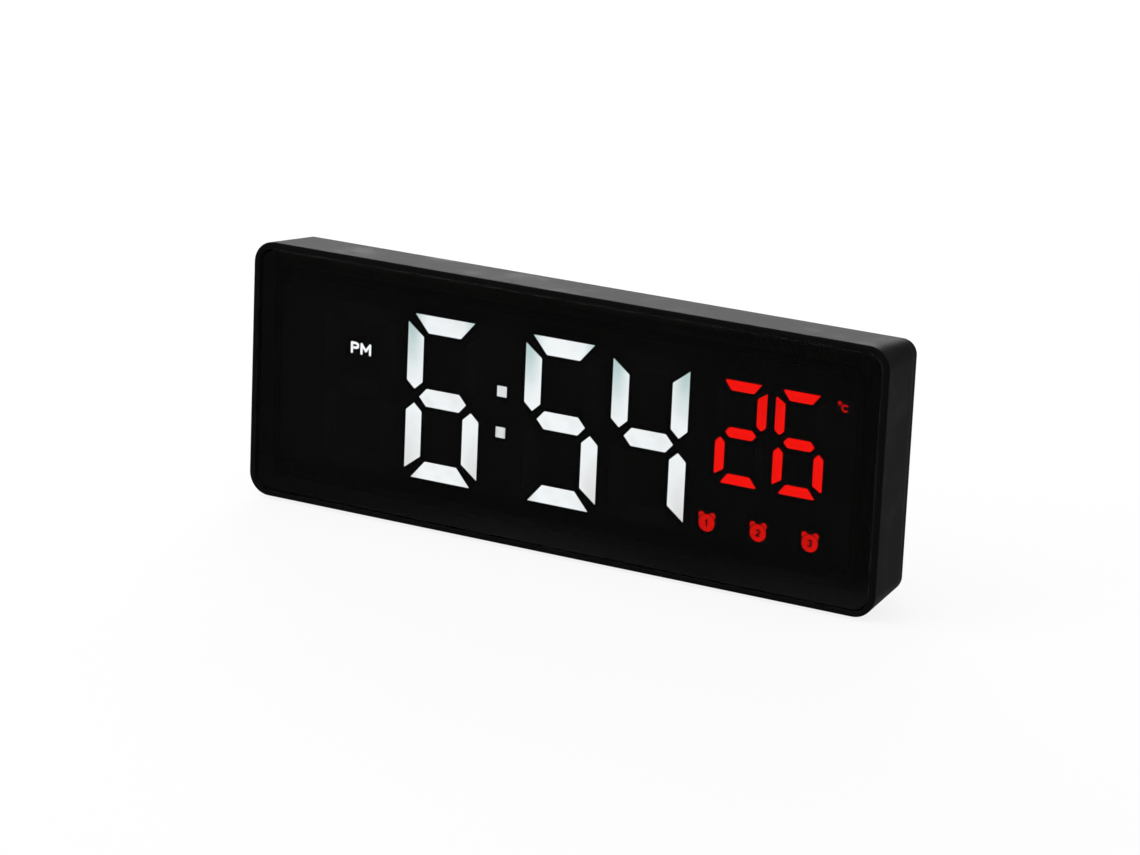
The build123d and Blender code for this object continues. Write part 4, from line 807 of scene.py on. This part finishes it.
class FinishPower(ClockOperator):
    """Finishes the cells, their contacts and the battery leads"""

    bl_idname = "clock.finish_power"
    bl_label = "Finish Cells and Leads"

    def execute(self, context):
        for node, way in POSITIVE_ENDS.items():
            self.finish_cell(node, way)
        nickel = Metal("nickel_contacts", *NICKEL, smooth=0.2, rough=0.36)
        nickel.dress("contact_plates", "contact_springs")
        for node, colour in LEADS.items():
            self.finish_lead(node, colour)
        return {"FINISHED"}

    def finish_cell(self, node, way):
        """A plain slate-blue sleeve with a pale band and a plus sign at its positive end, on a steel can."""
        cell = Finish("sleeve_" + node, Coat_Roughness=0.15)
        half = box_size(node) / 2
        spot = cell.from_middle(box_middle(node))
        along = cell.calc("MULTIPLY", spot["X"], way)
        sleeve = self.sleeve_mask(cell, half, spot, along)
        band = cell.ramp(along, *(half.x - edge for edge in BAND_EDGE))
        from_line = cell.calc("SUBTRACT", along, half.x - BAND_LINE_PLACE)
        line = cell.within(from_line, BAND_LINE_HALF, PRINT_BLUR)
        outer = cell.ramp(spot["Y"], 0.0, OUTER_BLUR)
        from_plus = cell.calc("SUBTRACT", along, half.x - PLUS_PLACE)
        from_minus = cell.calc("ADD", along, half.x - MINUS_PLACE)
        tall = (STROKE_HALF_WIDTH, STROKE_HALF_LENGTH, STROKE_BLUR)
        wide = (STROKE_HALF_LENGTH, STROKE_HALF_WIDTH, STROKE_BLUR)
        upright = cell.patch(from_plus, spot["Z"], *tall)
        level = cell.patch(from_plus, spot["Z"], *wide)
        plus = cell.product(cell.calc("MAXIMUM", upright, level), outer)
        minus = cell.product(cell.patch(from_minus, spot["Z"], *tall), outer)
        print_colour = cell.flecked(1800.0, SLATE_DARK, SLATE_PALE)
        inks = ((band, BAND_GREY), (line, grey(0.55)), (plus, grey(0.02)), (minus, grey(0.6)))
        for mask, ink in inks:
            print_colour = cell.blend(mask, print_colour, ink)
        steel = cell.flecked(700.0, grey(0.72), grey(0.6))
        cell.show(Base_Color=cell.blend(sleeve, steel, print_colour), Metallic=cell.inverse(sleeve))
        cell.show(Coat_Weight=cell.product(sleeve, 0.6), Roughness=cell.uneven(1200.0, 0.24, 0.36))
        cell.dress(node)

    def sleeve_mask(self, cell, half, spot, along):
        """One on the round side of a cell, and zero on its bare ends."""
        across = cell.add("ShaderNodeCombineXYZ", {"Y": spot["Y"], "Z": spot["Z"]}).outputs[0]
        radius = cell.vector_calc("LENGTH", across)["Value"]
        side = cell.ramp(radius, *(half.z - edge for edge in SLEEVE_SIDE_EDGE))
        from_middle = cell.magnitude(cell.calc("ADD", along, SLEEVE_SHIFT))
        return cell.product(side, cell.ramp(from_middle, *(half.x - edge for edge in SLEEVE_END_EDGE)))

    def finish_lead(self, node, colour):
        """A stranded wire's sleeve, with its ends stripped and tinned."""
        paler = scaled(colour, 1.3)
        lead = Moulded(
            "sleeve_" + node, colour, paler, rough=0.45, handled=0.35, scale=1500.0, depth=0.01 * MM
        )
        low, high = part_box(node)
        spot = lead.axes()
        landed = lead.ramp(spot["Y"], *(high.y - edge for edge in LANDED_EDGE))
        soldered = lead.ramp(spot["X"], *(low.x + edge for edge in SOLDERED_EDGE))
        lead.lay_bare(lead.calc("MAXIMUM", landed, soldered), grey(0.7))
        lead.dress(node)


# The keys, the screws and the pads

PLUNGER_PALE = ((0.55, 0.54, 0.5), (0.66, 0.65, 0.6))
BLACK_ZINC = ((0.05, 0.05, 0.055), (0.09, 0.085, 0.08))
SCREW_RUB = 0.15 * MM


class FinishSmallParts(ClockOperator):
    """Finishes the keys, their plungers, the screws and the rubber pads"""

    bl_idname = "clock.finish_small_parts"
    bl_label = "Finish Keys, Screws and Pads"

    def execute(self, context):
        key = Moulded(
            "key_satin_plastic",
            grey(0.016),
            grey(0.03),
            rough=0.38,
            handled=0.28,
            scale=3500.0,
            depth=0.008 * MM,
        )
        key.show(Specular_IOR_Level=0.3)
        key.dress(*(name + "_key" for name in KEY_NAMES))
        plunger = Moulded("plunger_pale_plastic", *PLUNGER_PALE, rough=0.5, handled=0.4, scale=2500.0)
        plunger.dress(*(name + "_plunger" for name in KEY_NAMES))
        screw = Metal("screw_black_zinc", *BLACK_ZINC, smooth=0.3, rough=0.45)
        screw.paint(screw.effect("rub", Radius=SCREW_RUB)["Mask"], grey(0.45))
        screw.dress("cover_screws", "board_screws")
        rubber = Moulded(
            "pad_dark_rubber", grey(0.018), grey(0.04), rough=0.85, handled=0.7, scale=1400.0, depth=0.05 * MM
        )
        rubber.show(Specular_IOR_Level=0.25)
        rubber.dress("foot_pad_left", "foot_pad_right")
        return {"FINISHED"}


# The signs in the keys

SIGN_THICKNESS = 0.07 * MM
SIGN_SINK = 0.01 * MM
DISH_DEPTH = 0.25 * MM
SIGN_REACH = 1.25 * MM
SIGN_STROKE = 0.32 * MM

MENU_BAR_LENGTH = 1.6 * SIGN_REACH
MENU_BAR_STEP = 2.1 * SIGN_STROKE
RING_RADIUS = 0.68 * SIGN_REACH
RING_WALL = 0.55 * SIGN_STROKE
BELL_RADIUS = 0.26 * SIGN_REACH
BELL_PLACE = (0.62 * SIGN_REACH, 0.68 * SIGN_REACH)
FOOT_SIZE = (0.4 * SIGN_REACH, 0.6 * SIGN_STROKE)
FOOT_PLACE = (0.55 * SIGN_REACH, -0.72 * SIGN_REACH)
MINUTE_HAND_LENGTH = 0.42 * SIGN_REACH
HOUR_HAND_LENGTH = 0.3 * SIGN_REACH
HAND_WIDTH = 0.5 * SIGN_STROKE
ARROW_RADIUS = 0.85 * SIGN_REACH
ARROW_DROP = 0.15 * SIGN_REACH
MOON_RADIUS = 0.85 * SIGN_REACH
MOON_HOLLOW_SHARE = 0.35
MOON_LEAN = radians(-25.0)


def place_flat(mesh, made, middle, turn, size=(1.0, 1.0)):
    """Stands up what was made flat in X and Y, so that it lies in X and Z round a middle."""
    matrix = Matrix.Translation((middle[0], 0.0, middle[1])) @ Matrix.Rotation(turn, 4, "Y")
    matrix = matrix @ Matrix.Rotation(pi / 2, 4, "X") @ Matrix.Diagonal((*size, 1.0, 1.0))
    bmesh.ops.transform(mesh, matrix=matrix, verts=made["verts"])
    return made["verts"]


def flat_disc(mesh, radius, middle=(0.0, 0.0), segments=32, turn=0.0):
    """A flat face with equal sides round a middle, in the plane of X and Z."""
    made = bmesh.ops.create_circle(mesh, cap_ends=True, radius=radius, segments=segments)
    return place_flat(mesh, made, middle, turn)


def flat_bar(mesh, length, width, middle=(0.0, 0.0), turn=0.0):
    """A flat bar in the plane of X and Z."""
    made = bmesh.ops.create_grid(mesh, x_segments=1, y_segments=1, size=0.5)
    return place_flat(mesh, made, middle, turn, (length, width))


def raise_flat_form(mesh, thickness):
    """Gives flat faces a thickness towards the back."""
    back = bmesh.ops.extrude_face_region(mesh, geom=mesh.faces[:])
    raised = [part for part in back["geom"] if isinstance(part, bmesh.types.BMVert)]
    bmesh.ops.translate(mesh, verts=raised, vec=(0.0, thickness, 0.0))


def finished_piece(name, mesh, material):
    """An object from a bmesh, its faces turned outwards and its material set."""
    bmesh.ops.recalc_face_normals(mesh, faces=mesh.faces[:])
    data = bpy.data.meshes.new(name)
    mesh.to_mesh(data)
    mesh.free()
    data.materials.append(material)
    piece = bpy.data.objects.new(name, data)
    bpy.context.scene.collection.objects.link(piece)
    return piece


def draw_mode(mesh):
    """Three level bars."""
    for level in (-1, 0, 1):
        flat_bar(mesh, MENU_BAR_LENGTH, SIGN_STROKE, (0.0, level * MENU_BAR_STEP))


def draw_alarm(mesh):
    """A round alarm clock: a ring with two bells, two feet and its hands."""
    flat_disc(mesh, RING_RADIUS)
    face = mesh.faces[:]
    bmesh.ops.inset_individual(mesh, faces=face, thickness=RING_WALL, use_even_offset=True)
    bmesh.ops.delete(mesh, geom=face, context="FACES_ONLY")
    for side in (-1, 1):
        flat_disc(mesh, BELL_RADIUS, (side * BELL_PLACE[0], BELL_PLACE[1]), segments=16)
        flat_bar(mesh, *FOOT_SIZE, (side * FOOT_PLACE[0], FOOT_PLACE[1]), side * pi / 4)
    flat_bar(mesh, HAND_WIDTH, MINUTE_HAND_LENGTH, (0.0, MINUTE_HAND_LENGTH / 2))
    flat_bar(mesh, HOUR_HAND_LENGTH, HAND_WIDTH, (-HOUR_HAND_LENGTH / 2, 0.0))


def draw_up(mesh):
    """A triangle that points up."""
    flat_disc(mesh, ARROW_RADIUS, (0.0, -ARROW_DROP), segments=3)


def draw_down(mesh):
    """A triangle that points down."""
    flat_disc(mesh, ARROW_RADIUS, (0.0, ARROW_DROP), segments=3, turn=pi)


def draw_moon(mesh):
    """A crescent: a disc whose one side is pushed in."""
    for vertex in flat_disc(mesh, MOON_RADIUS, segments=48):
        if vertex.co.x > 0.0:
            vertex.co.x = vertex.co.x * -MOON_HOLLOW_SHARE
    bmesh.ops.rotate(mesh, verts=mesh.verts[:], matrix=Matrix.Rotation(MOON_LEAN, 3, "Y"))


class AddKeySigns(ClockOperator):
    """Models the small sign in the dish of each key"""

    bl_idname = "clock.add_key_signs"
    bl_label = "Add Key Signs"

    def execute(self, context):
        pale = Moulded(
            "sign_pale_plastic", grey(0.55), grey(0.7), rough=0.5, handled=0.4, depth=0.004 * MM
        )
        drawings = (draw_mode, draw_alarm, draw_up, draw_down, draw_moon)
        for name, draw in zip(KEY_NAMES, drawings):
            self.add_sign(name, draw, pale.material)
        return {"FINISHED"}

    def add_sign(self, name, draw, material):
        """One sign, a little raised from the floor of its key's dish."""
        mesh = bmesh.new()
        draw(mesh)
        middle = box_middle(name + "_key")
        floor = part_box(name + "_key")[1].y - DISH_DEPTH - SIGN_SINK
        raise_flat_form(mesh, SIGN_THICKNESS)
        bmesh.ops.translate(mesh, verts=mesh.verts[:], vec=(middle.x, floor, middle.z))
        sign = finished_piece(name + "_sign", mesh, material)
        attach(sign, name + "_key_body")


# The bare label on the back

LABEL_SIZE = (35.4 * MM, 21.4 * MM)
LABEL_MIDDLE = (-61.95 * MM, 30.8 * MM)
LABEL_THICKNESS = 0.12 * MM
LABEL_RECESS = 0.25 * MM
LABEL_CORNER = 0.9 * MM
LABEL_FRAME_INSET = 1.2 * MM
LABEL_FRAME_HALF = 0.12 * MM
LABEL_FRAME_BLUR = 0.03 * MM


class AddLabel(ClockOperator):
    """Models the label on the back, left bare but for a thin printed frame"""

    bl_idname = "clock.add_label"
    bl_label = "Add Bare Label"

    def execute(self, context):
        mesh = bmesh.new()
        flat_bar(mesh, *LABEL_SIZE)
        bmesh.ops.bevel(
            mesh,
            geom=mesh.verts[:],
            offset=LABEL_CORNER,
            segments=8,
            profile=0.5,
            affect="VERTICES",
            material=-1,
        )
        raise_flat_form(mesh, LABEL_THICKNESS)
        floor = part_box("rear_cover")[1].y - LABEL_RECESS - SIGN_SINK
        middle = Vector((LABEL_MIDDLE[0], floor, LABEL_MIDDLE[1]))
        bmesh.ops.translate(mesh, verts=mesh.verts[:], vec=middle)
        label = finished_piece("rear_label", mesh, self.label_finish(middle).material)
        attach(label, "clock")
        return {"FINISHED"}

    def label_finish(self, middle):
        """Satin graphite film with a thin pale frame line."""
        film = Finish("label_graphite_film", Specular_IOR_Level=0.3)
        spot = film.from_middle(middle)
        from_side, from_edge = (
            film.calc("SUBTRACT", size / 2 - LABEL_FRAME_INSET, film.magnitude(spot[axis]))
            for size, axis in zip(LABEL_SIZE, "XZ")
        )
        nearest = film.calc("MINIMUM", from_side, from_edge)
        frame_line = film.within(nearest, LABEL_FRAME_HALF, LABEL_FRAME_BLUR)
        fleck = film.noise(2600.0, detail=3.0)
        ground = film.blend(fleck, grey(0.02), grey(0.045))
        film.show(Base_Color=film.blend(frame_line, ground, grey(0.4)))
        film.show(Roughness=film.ramp(fleck, 0.3, 0.7, 0.32, 0.42))
        film.bump(fleck, 0.004 * MM)
        return film


# The stage: where each softbox stands, its width and its height

KEY_SOFTBOX = ((-0.3, -0.35, 1.3), 1.2, 1.2)
FILL_SOFTBOX = ((-0.9, -1.1, 0.7), 0.9, 0.9)
SHEEN_SOFTBOX = ((-0.56, 1.01, 0.42), 0.9, 0.5)
FACE_MIDDLE = (0.0, 0.0, FACE_MIDDLE_HEIGHT)
TOP_MIDDLE = (0.0, 0.0, 76.0 * MM)
SENSOR_WIDTH = 36.0


def seen_rays(nodes):
    """One for rays that see the background: straight from the camera, off gloss or through the panel."""
    rays = nodes.add("ShaderNodeLightPath").outputs
    seen = nodes.calc("ADD", rays["Is Camera Ray"], rays["Is Glossy Ray"])
    return nodes.calc("ADD", seen, rays["Is Transmission Ray"], clamp=True)


def add_softbox(name, place, width, height, aim, power):
    """An area lamp that the camera doesn't see."""
    lamp = bpy.data.lights.new(name, "AREA")
    lamp.shape = "RECTANGLE"
    lamp.size = width
    lamp.size_y = height
    lamp.energy = power
    softbox = bpy.data.objects.new(name, lamp)
    softbox.location = place
    softbox.rotation_euler = (Vector(aim) - Vector(place)).to_track_quat("-Z", "Y").to_euler()
    softbox.visible_camera = False
    bpy.context.scene.collection.objects.link(softbox)


class SetStage(ClockOperator):
    """Sets the floor, the soft lamps, the pale world and the camera"""

    bl_idname = "clock.set_stage"
    bl_label = "Set Stage"

    def execute(self, context):
        want = context.scene.clock_stage
        context.scene.view_settings.view_transform = "Standard"
        self.add_floor(want)
        self.set_world(want)
        self.add_lamps(want)
        self.add_camera(want)
        return {"FINISHED"}

    def add_floor(self, want):
        """A pale floor that looks white to the camera, to metal and to glass, and keeps a shadow."""
        mesh = bmesh.new()
        bmesh.ops.create_grid(mesh, x_segments=1, y_segments=1, size=want.floor_width / 2)
        matt = Finish("pale_floor", Roughness=0.9, Specular_IOR_Level=0.0)
        paler = scaled(want.floor_colour, 0.98)
        matt.show(Base_Color=matt.flecked(3.0, want.floor_colour, paler))
        shown = matt.add("ShaderNodeEmission", {"Color": grey(1.0), "Strength": 1.0})
        share = matt.calc("MULTIPLY", seen_rays(matt), want.floor_clear)
        mix = matt.add("ShaderNodeMixShader", {0: share, 1: matt.surface.outputs[0], 2: shown.outputs[0]})
        matt.feed(matt.tree.nodes["Material Output"].inputs["Surface"], mix.outputs[0])
        floor = finished_piece("floor", mesh, matt.material)

    def set_world(self, want):
        """Even pale light, which the camera sees as white."""
        world = bpy.data.worlds.new("pale_room")
        world.use_nodes = True
        room = Nodes(world.node_tree)
        strength = room.ramp(seen_rays(room), 0.0, 1.0, want.world_strength, 1.0)
        room.feed_named(room.tree.nodes["Background"].inputs, {"Color": grey(1.0), "Strength": strength})
        bpy.context.scene.world = world

    def add_lamps(self, want):
        """A softbox overhead, one beside the camera and a small one behind that the top face reflects."""
        width, height = SHEEN_SOFTBOX[1:]
        sheen_power = want.sheen_strength * width * height * pi
        add_softbox("key_softbox", *KEY_SOFTBOX, FACE_MIDDLE, want.key_strength)
        add_softbox("fill_softbox", *FILL_SOFTBOX, FACE_MIDDLE, want.fill_strength)
        add_softbox("sheen_softbox", *SHEEN_SOFTBOX, TOP_MIDDLE, sheen_power)

    def add_camera(self, want):
        """A camera at the angle of the photograph."""
        camera_data = bpy.data.cameras.new("camera")
        camera_data.lens = want.view_lens
        camera_data.sensor_width = SENSOR_WIDTH
        camera = bpy.data.objects.new("camera", camera_data)
        level = Euler((pi / 2 - want.view_elevation, 0.0, want.view_azimuth)).to_quaternion()
        camera.location = Vector(want.view_aim) + level @ Vector((0.0, 0.0, want.view_distance))
        camera.rotation_euler = (level @ Quaternion((0.0, 0.0, 1.0), want.view_roll)).to_euler()
        bpy.context.scene.collection.objects.link(camera)
        bpy.context.scene.camera = camera


FINISHES = (FinishShell, FinishPanel, FinishDisplay, FinishElectronics, FinishPower, FinishSmallParts)
OPERATORS = (*FINISHES, AddKeySigns, AddLabel, SetStage)


class ClockPanel(bpy.types.Panel):
    """Lists the clock's settings and operators"""

    bl_idname = "VIEW3D_PT_desk_clock"
    bl_label = "Digital Desk Clock"
    bl_space_type = "VIEW_3D"
    bl_region_type = "UI"
    bl_category = "Clock"

    def draw(self, context):
        layout = self.layout
        for group in (context.scene.clock_shell, context.scene.clock_light, context.scene.clock_stage):
            box = layout.box()
            for name in group.__annotations__:
                box.prop(group, name)
        for operator in OPERATORS:
            layout.operator(operator.bl_idname)


SETTINGS = {
    "clock_shell": ClockShellSettings,
    "clock_light": ClockLightSettings,
    "clock_stage": ClockStageSettings,
}
CLASSES = (*SETTINGS.values(), *OPERATORS, ClockPanel)


def register():
    """Registers the settings, the operators and the panel."""
    for item in CLASSES:
        bpy.utils.register_class(item)
    for name, group in SETTINGS.items():
        setattr(bpy.types.Scene, name, PointerProperty(type=group))


def unregister():
    """Takes them away again."""
    for name in SETTINGS:
        delattr(bpy.types.Scene, name)
    for item in reversed(CLASSES):
        bpy.utils.unregister_class(item)


def main():
    """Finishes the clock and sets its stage."""
    register()
    bpy.ops.clock.finish_shell()
    bpy.ops.clock.finish_panel()
    bpy.ops.clock.finish_display()
    bpy.ops.clock.finish_electronics()
    bpy.ops.clock.finish_power()
    bpy.ops.clock.finish_small_parts()
    bpy.ops.clock.add_key_signs()
    bpy.ops.clock.add_label()
    bpy.ops.clock.set_stage()


if __name__ == "__main__":
    main()
